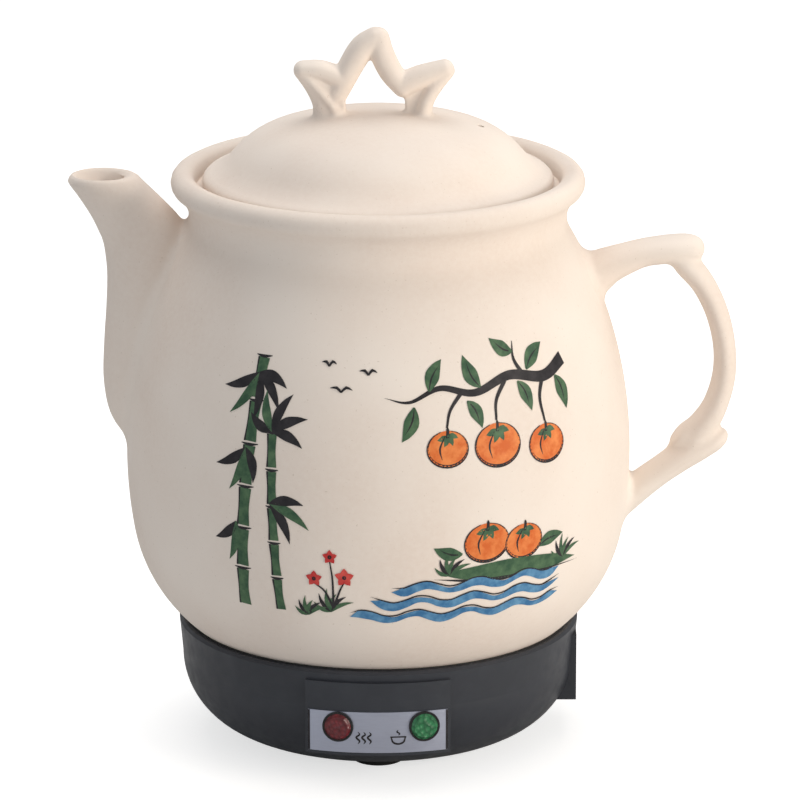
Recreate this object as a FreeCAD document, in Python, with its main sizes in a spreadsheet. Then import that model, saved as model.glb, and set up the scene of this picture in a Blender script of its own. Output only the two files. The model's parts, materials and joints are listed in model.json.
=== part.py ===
import FreeCAD, Part
import math
import os

import Sketcher

# An electric pot for herbal medicine: a stoneware jar with a spout, a twig-like handle and a
# lift-off lid, clamped by one bolt onto a plastic base that holds the heater.
#
# Millimetres. The jar's axis is Z and the pot stands on Z = 0. The handle points to +X, the
# spout to -X, and the panel with the lamps to -Y.

doc = FreeCAD.newDocument("MedicinePot")
sheet = doc.addObject("Spreadsheet::Sheet", "Sizes")

# Each row is a cell's name, its value and what it is. "Height" means above the standing plane.
SIZES = (
    # jar
    ("belly_radius", 108, "widest radius of the jar"),
    ("belly_height", 125, "height of the widest place"),
    ("side_arc", 192, "radius of the jar's side"),
    ("turn_height", 92.3, "height where the side turns under"),
    ("pot_bottom", 38, "height of the jar's underside"),
    ("pot_foot", 53.18, "radius of the jar's underside"),
    ("pot_floor", 8, "thickness of the jar's floor"),
    ("pot_wall", 6.5, "thickness of the jar's wall"),
    ("neck_height", 221.5, "height where the side meets the neck"),
    ("neck_arc", 13.4, "radius of the hollow below the rim"),
    ("lip_rise", 21.8, "height of the rim's roll above the neck"),
    ("lip_out", 0.8, "how much wider the rim's roll runs than the neck's foot"),
    ("lip_radius", 5.2, "radius of the rim's roll"),
    ("lip_under", 60, "angle below level where the roll starts, degrees"),
    ("lip_over", 150, "angle above level, from the outside, where the roll ends inside, degrees"),
    ("ledge_drop", 3.3, "how far the ledge for the lid lies below the rim's roll"),
    ("rim_width", 5.8, "width from the rim's roll in to the ledge"),
    ("ledge_width", 7.5, "width of the ledge"),
    ("ledge_thickness", 7, "thickness of the ledge"),
    ("ledge_slope", 11, "height of the slope from the wall to the ledge"),
    ("stud_hole_radius", 5, "hole in the jar's floor for the bolt"),
    ("strainer_hole_radius", 1.5, "holes behind the spout"),
    ("strainer_height", 168, "height of the lowest strainer holes"),
    ("strainer_pitch", 8, "distance between rows of strainer holes"),
    ("strainer_side", 5.6, "distance of the side holes from the middle row"),
    ("strainer_rows", 5, "number of rows of strainer holes"),
    # spout: flat oval sections, from the lowest to the mouth
    ("toe_height", 128, "height of the spout's lowest section"),
    ("toe_out", -2, "how far that section stands out from the jar's side"),
    ("toe_gap", -30, "how far its near side stands out from the jar's side"),
    ("toe_half", 8, "half that section's width"),
    ("heel_height", 143, "height of the next section, where the spout leaves the jar"),
    ("heel_out", 8.5, "how far it stands out from the jar's side"),
    ("heel_gap", -29.2, "how far its near side stands out"),
    ("heel_half", 13, "half its width"),
    ("back_height", 165, "height of the section where the spout is widest"),
    ("back_out", 14.2, "how far it stands out from the jar's side"),
    ("back_gap", -25.8, "how far its near side stands out"),
    ("back_half", 15, "half its width"),
    ("waist_drop", 17.5, "how far below the neck the next section lies"),
    ("waist_out", 24.6, "how far it stands out from the jar's side"),
    ("waist_gap", -13, "how far its near side stands out"),
    ("waist_half", 14.5, "half its width"),
    ("throat_rise", 5.5, "height above the neck of the section where the spout leans out"),
    ("throat_out", 39.5, "how far it stands out from the neck's foot"),
    ("throat_gap", 2.5, "how far its near side stands out from the neck's foot"),
    ("throat_half", 14, "half its width"),
    ("mouth_rise", 24.5, "height of the spout's mouth above the neck"),
    ("mouth_out", 50, "how far the mouth stands out from the neck's foot"),
    ("mouth_gap", 20.2, "how far its near side stands out from the neck's foot"),
    ("mouth_half", 13.8, "half the mouth's width"),
    ("spout_wall", 6.2, "thickness of the spout's wall"),
    ("bore_overrun", 1.2, "how far the spout's bore is cut past its mouth"),
    # handle: the line through the middle of its three twigs
    ("handle_root", 28, "how far inside the belly's radius the handle's line starts and ends"),
    ("handle_top_root", 24.9, "how far below the neck it starts"),
    ("handle_top_bend", 3.4, "how far past the belly's radius the top twig levels out"),
    ("handle_top_drop", 8.2, "how far the top twig lies below the neck"),
    ("handle_top_arc", 40, "radius of the bend in the top twig"),
    ("grip_top", 20.2, "how far past the belly's radius the grip leaves the top twig"),
    ("grip_out", 53.8, "how far past it the corner lies that the bowed grip is rounded from"),
    ("grip_low", 0.85, "how far that corner lies below the grip's middle"),
    ("grip_straight", 18.3, "length of the grip past its bow"),
    ("grip_foot", 19.6, "how far past the belly's radius the grip meets the lower twig"),
    ("grip_foot_drop", 7.6, "how far below the belly's height it does so"),
    ("handle_low_root", 45.8, "how far below the belly's height the handle's line ends"),
    ("handle_corner", 9, "radius of the two corners"),
    ("handle_thickness", 10.6, "thickness of the twigs seen from the side"),
    ("handle_width", 19, "width of the twigs"),
    ("knuckle_top_length", 5.4, "how far the top twig goes on past the grip"),
    ("knuckle_top_drop", 0.3, "how far it falls there"),
    ("knuckle_low_length", 18, "how far the lower twig goes on past the grip"),
    ("knuckle_low_rise", 11.2, "how far it rises there"),
    ("knuckle_radius", 5.6, "radius of the twigs' ends"),
    # lid
    ("lid_rise", 33, "height of the dome above the ledge"),
    ("crown_fall", 6.2, "how far the dome's crown falls towards its shoulder"),
    ("crown_edge", 18, "width of the dome's shoulder"),
    ("shoulder_arc", 36, "radius of the shoulder"),
    ("shoulder_edge", 12.6, "distance from the end of the shoulder to the lid's edge"),
    ("cove_arc", 28, "radius of the hollow between shoulder and brim"),
    ("brim_play", 2.4, "gap between the lid's brim and the rim"),
    ("brim_thickness", 7.4, "thickness of the brim"),
    ("lid_wall", 5.5, "thickness of the dome"),
    ("lid_play", 1.2, "gap between the lid's ring and the mouth"),
    ("ring_wall", 4, "thickness of the locating ring"),
    ("ring_depth", 8, "how far the ring reaches into the mouth"),
    ("vent_edge", 31.1, "distance of the steam vent from the lid's edge"),
    ("vent_radius", 1.5, "radius of the steam vent"),
    # knob: bent twigs between points, each given by how far it lies from the axis and how high
    ("twig_radius", 5.1, "radius of the knob's twigs"),
    ("left_foot_x", -20.5, "left foot of the knob"),
    ("right_foot_x", 17.5, "right foot of the knob"),
    ("left_peak_x", -29.8, "left peak"),
    ("left_peak_rise", 19, "left peak, above the dome's top"),
    ("left_valley_x", -16, "valley between the left and middle peaks"),
    ("left_valley_rise", 14.6, "valley between the left and middle peaks, above the dome's top"),
    ("middle_peak_x", 0, "middle peak"),
    ("middle_peak_rise", 31.9, "middle peak, above the dome's top"),
    ("right_valley_x", 11.8, "valley between the middle and right peaks"),
    ("right_valley_rise", 13.4, "valley between the middle and right peaks, above the dome's top"),
    ("right_peak_x", 26.6, "right peak"),
    ("right_peak_rise", 18.6, "right peak, above the dome's top"),
    # base shell
    ("shell_bottom", 3, "height of the shell's underside"),
    ("shell_arc", 33, "radius of the rounded part"),
    ("shell_turn_height", 35.4, "height at which the rounded part ends"),
    ("shell_gap", 4.31, "distance from the jar to the outside of the shell's lip"),
    ("shell_taper", 1.4, "how much narrower the rounded part is than the lip"),
    ("shell_wall", 2.8, "thickness of the shell"),
    ("lip_edge", 1.2, "bevel on the shell's lip"),
    ("seat_height", 47.5, "height of the flange that the seal lies on"),
    ("seat_depth", 4.5, "how far that flange lies below the top of the shell's lip"),
    ("seat_thickness", 2.5, "thickness of that flange"),
    ("seat_width", 8.7, "width of that flange, from the outside of the lip"),
    ("seal_proud", 0.4, "how far the seal stands above the shell's lip"),
    ("cover_rest", 7.4, "width of the floor that the cover lies against"),
    ("floor_thickness", 3, "thickness of the floor around it"),
    # panel and lamps
    ("panel_angle", 41, "width of the panel frame, degrees"),
    ("panel_proud", 1.2, "how far the panel frame's face stands out from the lip"),
    ("panel_low", 15.6, "lower edge of the panel frame's face"),
    ("panel_slope", 4.5, "how far the frame's underside falls towards the shell"),
    ("panel_drop", 4.4, "how far the panel frame's upper edge lies below the shell's lip"),
    ("plate_angle", 39.2, "width of the grey plate, degrees"),
    ("plate_low", 17.1, "lower edge of the grey plate"),
    ("plate_high", 35, "upper edge of the grey plate"),
    ("plate_thickness", 0.5, "thickness of the grey plate"),
    ("lamp_height", 28.4, "height of the lamps"),
    ("red_lamp_turn", 11, "angle of the red lamp from the front, degrees"),
    ("green_lamp_turn", 12.8, "angle of the green lamp from the front, degrees"),
    ("lens_radius", 5.6, "radius of a lens"),
    ("lens_proud", 1.8, "how far a lens stands out from the grey plate"),
    ("lens_edge", 1.1, "bevel on a lens"),
    ("lens_depth", 11, "length of a lens"),
    ("bezel_wall", 0.5, "wall of a bezel's barrel"),
    ("bezel_lip", 0.4, "how far a bezel's lip is wider than its barrel"),
    ("bezel_proud", 0.7, "height of a bezel's lip"),
    ("bezel_depth", 9.5, "length of a bezel's barrel"),
    ("lens_play", 0.1, "gap around a lens and around a barrel"),
    ("panel_wall", 6.8, "thickness of the panel where a lamp clip lies behind it"),
    ("clip_thickness", 1, "thickness of a lamp clip"),
    ("clip_width", 1.8, "outer radius of a lamp clip past the barrel"),
    ("clip_play", 0.05, "gap between a lamp clip and the barrel"),
    ("clip_room", 0.3, "gap around a lamp clip"),
    ("neon_radius", 3.2, "radius of a lamp"),
    ("neon_length", 12, "length of a lamp"),
    # inlet
    ("inlet_setback", 0.9, "how far the inlet block's face lies inside the lip"),
    ("inlet_drop", 21, "how far the inlet's middle lies below the shell's lip"),
    ("block_width", 40, "width of the inlet block"),
    ("block_below", 13.5, "height of the block below the inlet's middle"),
    ("block_above", 16, "height of the block above the inlet's middle"),
    ("block_wall", 3.5, "thickness of the block's face"),
    ("block_side", 2.5, "thickness of the block's sides"),
    ("flange_width", 31, "width of the inlet's flange"),
    ("flange_tall", 23.5, "height of the inlet's flange"),
    ("flange_thickness", 1.5, "thickness of the inlet's flange"),
    ("socket_width", 27, "width of the inlet's body"),
    ("socket_tall", 20, "height of the inlet's body"),
    ("socket_length", 17.3, "length of the inlet from its face"),
    ("recess_width", 24.2, "width of the recess for the connector"),
    ("recess_tall", 16.2, "height of the recess"),
    ("recess_depth", 15, "depth of the recess"),
    ("inlet_play", 0.2, "gap around the inlet in the block"),
    ("tab_length", 1.6, "length of the inlet's snap tabs"),
    ("tab_width", 1, "how far the snap tabs stand out"),
    ("pin_pitch", 7, "distance of the line and neutral pins from the middle"),
    ("earth_offset", 4, "how much higher the earth pin sits"),
    ("pin_width", 2, "width of a pin"),
    ("pin_tall", 4, "height of a pin"),
    ("pin_setback", 4, "how far a pin's tip lies inside the recess"),
    ("pin_tail", 8, "length of a pin behind the inlet"),
    # heater
    ("plate_edge", 5.18, "distance from the heating plate's edge to the edge of the jar's underside"),
    ("heater_thickness", 6, "thickness of the heating plate"),
    ("element_edge", 12, "distance from the element's ring to the plate's edge"),
    ("element_radius", 4, "radius of the element's tube"),
    ("element_drop", 6.5, "depth of the ring's middle below the jar"),
    ("element_sweep", 300, "length of the ring, degrees"),
    ("groove_play", 0.1, "gap around the element in its groove"),
    ("terminal_radius", 3, "radius of the element's terminals"),
    ("terminal_end", 14, "height of the terminals' lower ends"),
    ("stud_radius", 4, "radius of the clamp bolt"),
    ("stud_play", 0.3, "gap around the bolt"),
    ("stud_end", 9, "height of the bolt's lower end"),
    ("cap_radius", 11, "radius of the bolt's cap"),
    ("cap_edge", 1.4, "height of the cap's rim"),
    ("cap_dome", 3.2, "height of the cap's dome above its rim"),
    ("gasket_radius", 12, "radius of the gasket under the cap"),
    ("gasket_thickness", 1.6, "thickness of that gasket"),
    ("spacer_wall", 2.7, "wall of the spacer on the bolt"),
    ("reflector_height", 21, "height of the reflector's upper side"),
    ("reflector_sheet", 1, "thickness of the reflector"),
    ("reflector_flare", 6, "width of the reflector's raised edge"),
    ("reflector_gap", 1.3, "gap between the reflector's edge and the leads"),
    ("reflector_rise", 6, "height of the reflector's raised edge"),
    ("hole_margin", 2, "gap around what passes the reflector"),
    ("bar_width", 16, "width of the mounting bar"),
    ("bar_thickness", 2, "thickness of the mounting bar"),
    ("bar_screw_out", 4, "how far the bar's screws lie outside the cover"),
    ("bar_overhang", 5, "length of the bar past its screws"),
    ("boss_radius", 3.5, "radius of the screw bosses"),
    ("boss_root", 0.6, "how far the screw bosses are sunk in the shell's floor"),
    ("screw_radius", 1.5, "radius of the self-tapping screws"),
    ("screw_play", 0.3, "gap around a screw in the piece it holds"),
    ("screw_grip", 7, "how far a screw reaches into its boss"),
    ("screw_head", 3.3, "radius of a screw's head"),
    ("screw_head_height", 1.8, "height of a screw's head"),
    ("washer_radius", 9, "radius of the clamp washer"),
    ("washer_thickness", 1.6, "thickness of the clamp washer"),
    ("nut_flats", 13, "width across the clamp nut's flats"),
    ("nut_height", 6.5, "height of the clamp nut"),
    ("thread_play", 0.05, "gap between nut and bolt"),
    ("thermostat_gap", 14, "distance from the thermostats' middle to the element's ring"),
    ("thermostat_turn", 30, "angle between a thermostat and the line to the spout, degrees"),
    ("thermostat_radius", 7.5, "radius of a thermostat"),
    ("thermostat_height", 9, "height of a thermostat"),
    ("blade_width", 6.3, "width of a thermostat's blades"),
    ("blade_thickness", 0.8, "thickness of the blades"),
    ("blade_length", 8, "length of the blades"),
    ("blade_reach", 4, "distance of the blades from the thermostat's middle"),
    ("fuse_radius", 2.2, "radius of the thermal fuse"),
    ("fuse_length", 12, "length of the thermal fuse"),
    ("fuse_reach", 18, "distance of the fuse from the axis"),
    ("block_length", 20, "length of the terminal block"),
    ("block_depth", 12, "width of the terminal block"),
    ("block_tall", 8, "height of the terminal block"),
    ("block_gap", 19.5, "distance from the terminal block's middle to the cover screw behind it"),
    ("lead_radius", 1.3, "radius of an inner lead"),
    ("lead_bend", 4, "radius of a lead's bends"),
    ("lead_height", 12, "height at which the leads run inwards"),
    ("lead_stand_off", 3.4, "how far a lead runs out of its pin before it turns down"),
    # cover and feet
    ("cover_rim", 2.06, "width of the shell's underside around the bottom cover"),
    ("cover_thickness", 2, "thickness of the bottom cover"),
    ("cover_play", 0.3, "gap around the cover in the shell"),
    ("pad_gap", 15, "distance from the feet's middle to the pressed-out middle of the cover"),
    ("pad_height", 2, "height of that middle above the standing plane"),
    ("air_hole_radius", 2.2, "radius of the air holes"),
    ("air_hole_edge", 9, "distance from the air holes to the edge of that middle"),
    ("air_hole_count", 8, "number of air holes"),
    ("cover_screw_edge", 3.5, "distance of the cover's screws from its edge"),
    ("cover_boss_top", 15, "height of the cover's screw bosses"),
    ("foot_edge", 11, "distance of the feet's middle from the cover's edge"),
    ("foot_top_radius", 12.2, "radius of a foot where it meets the cover"),
    ("foot_radius", 10.8, "radius of a foot where it stands"),
    ("stem_radius", 2.3, "radius of a foot's stem"),
    ("stem_play", 0.1, "gap around the stem in the cover"),
    ("barb_radius", 3, "radius of the stem's barb"),
    ("barb_height", 3, "height of the stem's barb"),
)


def fill_sheet():
    """Write one row of the sheet for each size."""
    for row, (alias, number, note) in enumerate(SIZES, start=1):
        sheet.set("A%d" % row, alias)
        sheet.set("B%d" % row, str(number))
        sheet.set("C%d" % row, note)
        sheet.setAlias("B%d" % row, alias)
    doc.recompute()


class Size:
    """A number together with the expression of sheet cells that gives it."""

    def __init__(self, number, text):
        self.number = float(number)
        self.text = text

    def joined(self, sign, other, number):
        return Size(number, "(%s %s %s)" % (self.text, sign, other.text))

    def __add__(self, other):
        other = size(other)
        return self.joined("+", other, self.number + other.number)

    def __sub__(self, other):
        other = size(other)
        return self.joined("-", other, self.number - other.number)

    def __mul__(self, other):
        other = size(other)
        return self.joined("*", other, self.number * other.number)

    def __truediv__(self, other):
        other = size(other)
        return self.joined("/", other, self.number / other.number)

    def __neg__(self):
        return size(0) - self

    def __rsub__(self, other):
        return size(other) - self

    __radd__ = __add__
    __rmul__ = __mul__


def size(thing):
    """Take a bare number as a Size too."""
    if isinstance(thing, Size):
        return thing
    return Size(thing, "(%r)" % float(thing))


def root(thing):
    return Size(math.sqrt(thing.number), "sqrt(%s)" % thing.text)


def cosine(angle):
    return Size(math.cos(math.radians(angle.number)), "cos(%s)" % angle.text)


def sine(angle):
    return Size(math.sin(math.radians(angle.number)), "sin(%s)" % angle.text)


def direction(across, up):
    """The angle in degrees from straight up to the line (across, up)."""
    number = math.degrees(math.atan2(across.number, up.number))
    return Size(number, "atan2(%s; %s)" % (across.text, up.text))


class Cells:
    """The sheet's cells by name, so that s.pot_wall is the size in the cell pot_wall."""

    def __getattr__(self, alias):
        return Size(sheet.get(alias), "Sizes." + alias)


s = Cells()
fill_sheet()


# ---------------------------------------------------------------- objects tied to the sheet


def bind(thing, **sizes):
    """Tie properties of an object to the sheet."""
    for name, value in sizes.items():
        thing.setExpression(name, size(value).text)
    return thing


def place(thing, x=0, y=0, z=0, axis=None, angle=0):
    """Put an object at a point, turned about an axis by an angle in degrees."""
    if axis:
        turn = FreeCAD.Rotation(FreeCAD.Vector(*axis), size(angle).number)
        thing.Placement = FreeCAD.Placement(FreeCAD.Vector(), turn)
        thing.setExpression("Placement.Rotation.Angle", size(angle).text)
    for letter, length in zip("xyz", (x, y, z)):
        thing.setExpression("Placement.Base." + letter, size(length).text)
    return thing


def cylinder(name, radius, height, **where):
    thing = doc.addObject("Part::Cylinder", name)
    bind(thing, Radius=radius, Height=height)
    return place(thing, **where)


def ball(name, radius, **where):
    thing = doc.addObject("Part::Sphere", name)
    bind(thing, Radius=radius)
    return place(thing, **where)


def box(name, low, lengths):
    """A box from its low corner."""
    thing = doc.addObject("Part::Box", name)
    bind(thing, Length=lengths[0], Width=lengths[1], Height=lengths[2])
    return place(thing, *low)


def fuse(name, *pieces):
    thing = doc.addObject("Part::MultiFuse", name)
    thing.Shapes = list(pieces)
    return thing


def cut(name, base, *tools):
    thing = doc.addObject("Part::Cut", name)
    thing.Base = base
    thing.Tool = tools[0] if len(tools) == 1 else fuse(name + "_tools", *tools)
    return thing


def new_body(name):
    return doc.addObject("PartDesign::Body", name)


def origin_plane(body, role):
    return next(item for item in body.Origin.OriginFeatures if item.Role == role)


def new_sketch(body, name, role, lift=0):
    """A sketch on one of the body's origin planes, or a distance above it."""
    sketch = body.newObject("Sketcher::SketchObject", name)
    sketch.AttachmentSupport = [(origin_plane(body, role), "")]
    sketch.MapMode = "FlatFace"
    sketch.setExpression("AttachmentOffset.Base.z", size(lift).text)
    return sketch


def hold(sketch, rule, geometry, end, length):
    """Add a dimension to the sketch and tie it to the sheet."""
    if end is None:
        constraint = Sketcher.Constraint(rule, geometry, length.number)
    else:
        constraint = Sketcher.Constraint(rule, geometry, end, length.number)
    sketch.setExpression("Constraints[%d]" % sketch.addConstraint(constraint), length.text)


def hold_point(sketch, geometry, end, x, y):
    hold(sketch, "DistanceX", geometry, end, size(x))
    hold(sketch, "DistanceY", geometry, end, size(y))


def arc_between(start, stop, radius):
    """An arc from start to stop; with a negative radius it bends the other way."""
    middle = (start + stop) / 2
    along = stop - start
    left = FreeCAD.Vector(-along.y, along.x, 0).normalize()
    rise = math.sqrt(radius**2 - (along.Length / 2) ** 2)
    centre = middle + left * math.copysign(rise, radius)
    first, last = (start, stop) if radius > 0 else (stop, start)
    angles = [math.atan2(p.y - centre.y, p.x - centre.x) for p in (first, last)]
    circle = Part.Circle(centre, FreeCAD.Vector(0, 0, 1), abs(radius))
    return Part.ArcOfCircle(circle, angles[0], angles[1])


def outline(body, name, role, corners, lift=0):
    """A closed sketch. A corner is (x, y), or (x, y, radius) where an arc leads on from it."""
    sketch = new_sketch(body, name, role, lift)
    points = [FreeCAD.Vector(size(c[0]).number, size(c[1]).number, 0) for c in corners]
    ends = []
    for i, corner in enumerate(corners):
        start, stop = points[i], points[(i + 1) % len(points)]
        if len(corner) == 2:
            sketch.addGeometry(Part.LineSegment(start, stop))
            ends.append((1, 2))
        else:
            radius = size(corner[2])
            sketch.addGeometry(arc_between(start, stop, radius.number))
            ends.append((1, 2) if radius.number > 0 else (2, 1))
    for i, corner in enumerate(corners):
        after = (i + 1) % len(corners)
        sketch.addConstraint(Sketcher.Constraint("Coincident", i, ends[i][1], after, ends[after][0]))
        hold_point(sketch, i, ends[i][0], corner[0], corner[1])
        if len(corner) == 3:
            radius = size(corner[2])
            hold(sketch, "Radius", i, None, radius if radius.number > 0 else -radius)
    return sketch


def circles(body, name, role, rounds, lift=0):
    """A sketch of circles, each given as (x, y, radius)."""
    sketch = new_sketch(body, name, role, lift)
    for i, (x, y, radius) in enumerate(rounds):
        centre = FreeCAD.Vector(size(x).number, size(y).number, 0)
        sketch.addGeometry(Part.Circle(centre, FreeCAD.Vector(0, 0, 1), size(radius).number))
        hold_point(sketch, i, 3, x, y)
        hold(sketch, "Radius", i, None, size(radius))
    return sketch


def rounded_path(body, name, role, corners):
    """An open run of lines in a sketch, with a tangent arc (x, y, radius) at each inner corner."""
    sketch = new_sketch(body, name, role)
    points = [FreeCAD.Vector(size(c[0]).number, size(c[1]).number, 0) for c in corners]
    starts, arcs = [points[0]], []
    stops = []
    for before, corner, after, (_, _, radius) in zip(points, points[1:], points[2:], corners[1:-1]):
        back, on = (before - corner).normalize(), (after - corner).normalize()
        half = back.getAngle(on) / 2
        reach = size(radius).number / math.tan(half)
        stops.append(corner + back * reach)
        starts.append(corner + on * reach)
        turns_left = (corner - before).cross(after - corner).z > 0
        bend = size(radius).number if turns_left else -size(radius).number
        arcs.append((arc_between(stops[-1], starts[-1], bend), turns_left, size(radius)))
    stops.append(points[-1])
    lines = [sketch.addGeometry(Part.LineSegment(a, b)) for a, b in zip(starts, stops)]
    for i, (arc, turns_left, radius) in enumerate(arcs):
        bend = sketch.addGeometry(arc)
        first, last = (1, 2) if turns_left else (2, 1)
        corner = sketch.addGeometry(Part.Point(points[i + 1]), True)
        sketch.addConstraint(Sketcher.Constraint("PointOnObject", corner, 1, lines[i]))
        sketch.addConstraint(Sketcher.Constraint("PointOnObject", corner, 1, lines[i + 1]))
        hold_point(sketch, corner, 1, corners[i + 1][0], corners[i + 1][1])
        sketch.addConstraint(Sketcher.Constraint("Tangent", lines[i], 2, bend, first))
        sketch.addConstraint(Sketcher.Constraint("Tangent", bend, last, lines[i + 1], 1))
        hold(sketch, "Radius", bend, None, radius)
    hold_point(sketch, lines[0], 1, corners[0][0], corners[0][1])
    hold_point(sketch, lines[-1], 2, corners[-1][0], corners[-1][1])
    return sketch


def turned(name, corners, axis="V_Axis", angle=360, role="XZ_Plane"):
    """A body turned about one of its sketch's axes; less than a full turn lies half each way."""
    body = new_body(name)
    sketch = outline(body, name + "_outline", role, corners)
    solid = body.newObject("PartDesign::Revolution", name + "_turned")
    solid.Profile = sketch
    solid.ReferenceAxis = (sketch, [axis])
    bind(solid, Angle=angle)
    solid.Midplane = size(angle).number < 360
    sketch.Visibility = False
    return body


def ring(name, inner, outer, low, high):
    """A ring or plain washer about Z."""
    return turned(name, [(inner, low), (outer, low), (outer, high), (inner, high)])


def patterned(body, name, feature, count):
    """Repeat a feature around Z."""
    pattern = body.newObject("PartDesign::PolarPattern", name)
    pattern.Originals = [feature]
    pattern.Axis = (next(i for i in body.Origin.OriginFeatures if i.Role == "Z_Axis"), [""])
    pattern.Angle = 360
    if isinstance(count, Size):
        bind(pattern, Occurrences=count)
    else:
        pattern.Occurrences = count
    body.Tip = pattern
    return pattern


nodes = []


def node(label, thing):
    """Name a finished sub-part after its file."""
    thing.Label = label
    nodes.append(thing)
    return thing


# ---------------------------------------------------------------- jar

# The side is an arc about a point beyond the axis. The turn below it is tangent to it and ends
# at the edge of the underside.
side_centre = (s.belly_radius - s.side_arc, s.belly_height)


def side_reach(height, inset=0):
    """Radius of the jar's side, or of a surface inset from it, at a height above the turn."""
    rise = height - s.belly_height
    arc = s.side_arc - inset
    return side_centre[0] + root(arc * arc - rise * rise)


turn_point = (side_reach(s.turn_height), s.turn_height)
to_foot = (s.pot_foot - turn_point[0], s.pot_bottom - turn_point[1])
to_side_centre = tuple((c - t) / s.side_arc for c, t in zip(side_centre, turn_point))
leaning = to_foot[0] * to_side_centre[0] + to_foot[1] * to_side_centre[1]
low_arc = (to_foot[0] * to_foot[0] + to_foot[1] * to_foot[1]) / (2 * leaning)
low_share = 1 - low_arc / s.side_arc
low_centre = tuple(c + (t - c) * low_share for c, t in zip(side_centre, turn_point))


def low_reach(height, inset=0):
    """Radius of the jar below the turn, or of a surface inset from it, at a height."""
    rise = height - low_centre[1]
    arc = low_arc - inset
    return low_centre[0] + root(arc * arc - rise * rise)


neck_reach = side_reach(s.neck_height)
lip_reach = neck_reach + s.lip_out
lip_height = s.neck_height + s.lip_rise
ledge_height = lip_height - s.ledge_drop
ledge_outer = lip_reach - s.rim_width
ledge_inner = ledge_outer - s.ledge_width


def on_lip(angle):
    """A point of the rim's roll at an angle above level, seen from the roll's middle."""
    return lip_reach + s.lip_radius * cosine(angle), lip_height + s.lip_radius * sine(angle)


lip_start = on_lip(-s.lip_under)
lip_crest = (lip_reach, lip_height + s.lip_radius)
lip_end = on_lip(s.lip_over)

pot_form = turned(
    "pot_form",
    [
        (0, s.pot_bottom),
        (s.pot_foot, s.pot_bottom, low_arc),
        (*turn_point, s.side_arc),
        (neck_reach, s.neck_height, -s.neck_arc),
        (*lip_start, s.lip_radius),
        (*lip_crest, s.lip_radius),
        lip_end,
        (0, lip_end[1]),
    ],
)

pot_inner_floor = s.pot_bottom + s.pot_floor
inner_turn = tuple(c + (t - c) * (1 - s.pot_wall / s.side_arc) for c, t in zip(side_centre, turn_point))
ledge_root = ledge_height - s.ledge_thickness
inner_neck = ledge_root - s.ledge_slope

pot_void = turned(
    "pot_void",
    [
        (0, pot_inner_floor),
        (low_reach(pot_inner_floor, s.pot_wall), pot_inner_floor, low_arc - s.pot_wall),
        (*inner_turn, s.side_arc - s.pot_wall),
        (side_reach(inner_neck, s.pot_wall), inner_neck),
        (ledge_inner, ledge_root),
        (ledge_inner, ledge_height),
        (ledge_outer, ledge_height),
        lip_end,
        (0, lip_end[1]),
    ],
)


def strainer():
    """The holes behind the spout, bored towards it through the wall."""
    body = new_body("strainer")
    low = s.strainer_height
    side_low = low + s.strainer_pitch / 2
    rounds = [
        (0, low, s.strainer_hole_radius),
        (s.strainer_side, side_low, s.strainer_hole_radius),
        (-s.strainer_side, side_low, s.strainer_hole_radius),
    ]
    sketch = circles(body, "strainer_circles", "YZ_Plane", rounds)
    bores = body.newObject("PartDesign::Pad", "strainer_bores")
    bores.Profile = sketch
    bores.Reversed = True
    bind(bores, Length=s.belly_radius)
    rows = body.newObject("PartDesign::LinearPattern", "strainer_pattern")
    rows.Originals = [bores]
    rows.Direction = (sketch, ["V_Axis"])
    bind(rows, Length=s.strainer_pitch * (s.strainer_rows - 1), Occurrences=s.strainer_rows)
    body.Tip = rows
    return body


stud_hole = cylinder("stud_hole", s.stud_hole_radius, s.pot_floor * 2, z=s.pot_bottom - s.pot_floor / 2)
node("pot_body", cut("pot_body_cut", pot_form, pot_void, strainer(), stud_hole))


# ---------------------------------------------------------------- spout

SPOUT_HEIGHTS = {
    "toe": s.toe_height,
    "heel": s.heel_height,
    "back": s.back_height,
    "waist": s.neck_height - s.waist_drop,
    "throat": s.neck_height + s.throat_rise,
    "mouth": s.neck_height + s.mouth_rise,
}


def oval(name, far, near, half, height):
    """A flat oval in a level plane, from far to near on the spout's side."""
    thing = doc.addObject("Part::Ellipse", name)
    long_half = (far - near) / 2
    bind(thing, MajorRadius=long_half, MinorRadius=half)
    return place(thing, x=-(far + near) / 2, z=height)


def spout_section(part, wall=0, lift=0):
    """One oval of the spout's outside, or of its bore where a wall is taken off."""
    height = SPOUT_HEIGHTS[part]
    above_neck = part in ("throat", "mouth")
    beside = neck_reach if above_neck else side_reach(height)
    near = beside + getattr(s, part + "_gap") + (wall if above_neck else 0)
    far = beside + getattr(s, part + "_out") - wall
    return far, near, getattr(s, part + "_half") - wall, height + lift


def loft(name, sections):
    thing = doc.addObject("Part::Loft", name)
    thing.Sections = [oval("%s_%d" % (name, i), *section) for i, section in enumerate(sections)]
    thing.Solid = True
    return thing


spout_form = loft("spout_form", [spout_section(part) for part in SPOUT_HEIGHTS])
bore_sections = [spout_section(part, s.spout_wall) for part in list(SPOUT_HEIGHTS)[1:-1]]
bore_sections.append(spout_section("mouth", s.spout_wall, s.bore_overrun))
spout_bore = loft("spout_bore", bore_sections)
node("spout", cut("spout_cut", spout_form, pot_form, spout_bore))


# ---------------------------------------------------------------- handle


handle_start = (s.belly_radius - s.handle_root, s.neck_height - s.handle_top_root)
handle_end = (s.belly_radius - s.handle_root, s.belly_height - s.handle_low_root)
handle_top = s.neck_height - s.handle_top_drop
top_bend = (s.belly_radius + s.handle_top_bend, handle_top)
grip_top = (s.belly_radius + s.grip_top, handle_top)
grip_foot = (s.belly_radius + s.grip_foot, s.belly_height - s.grip_foot_drop)
grip_corner = (s.belly_radius + s.grip_out, (handle_top + grip_foot[1]) / 2 - s.grip_low)


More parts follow.
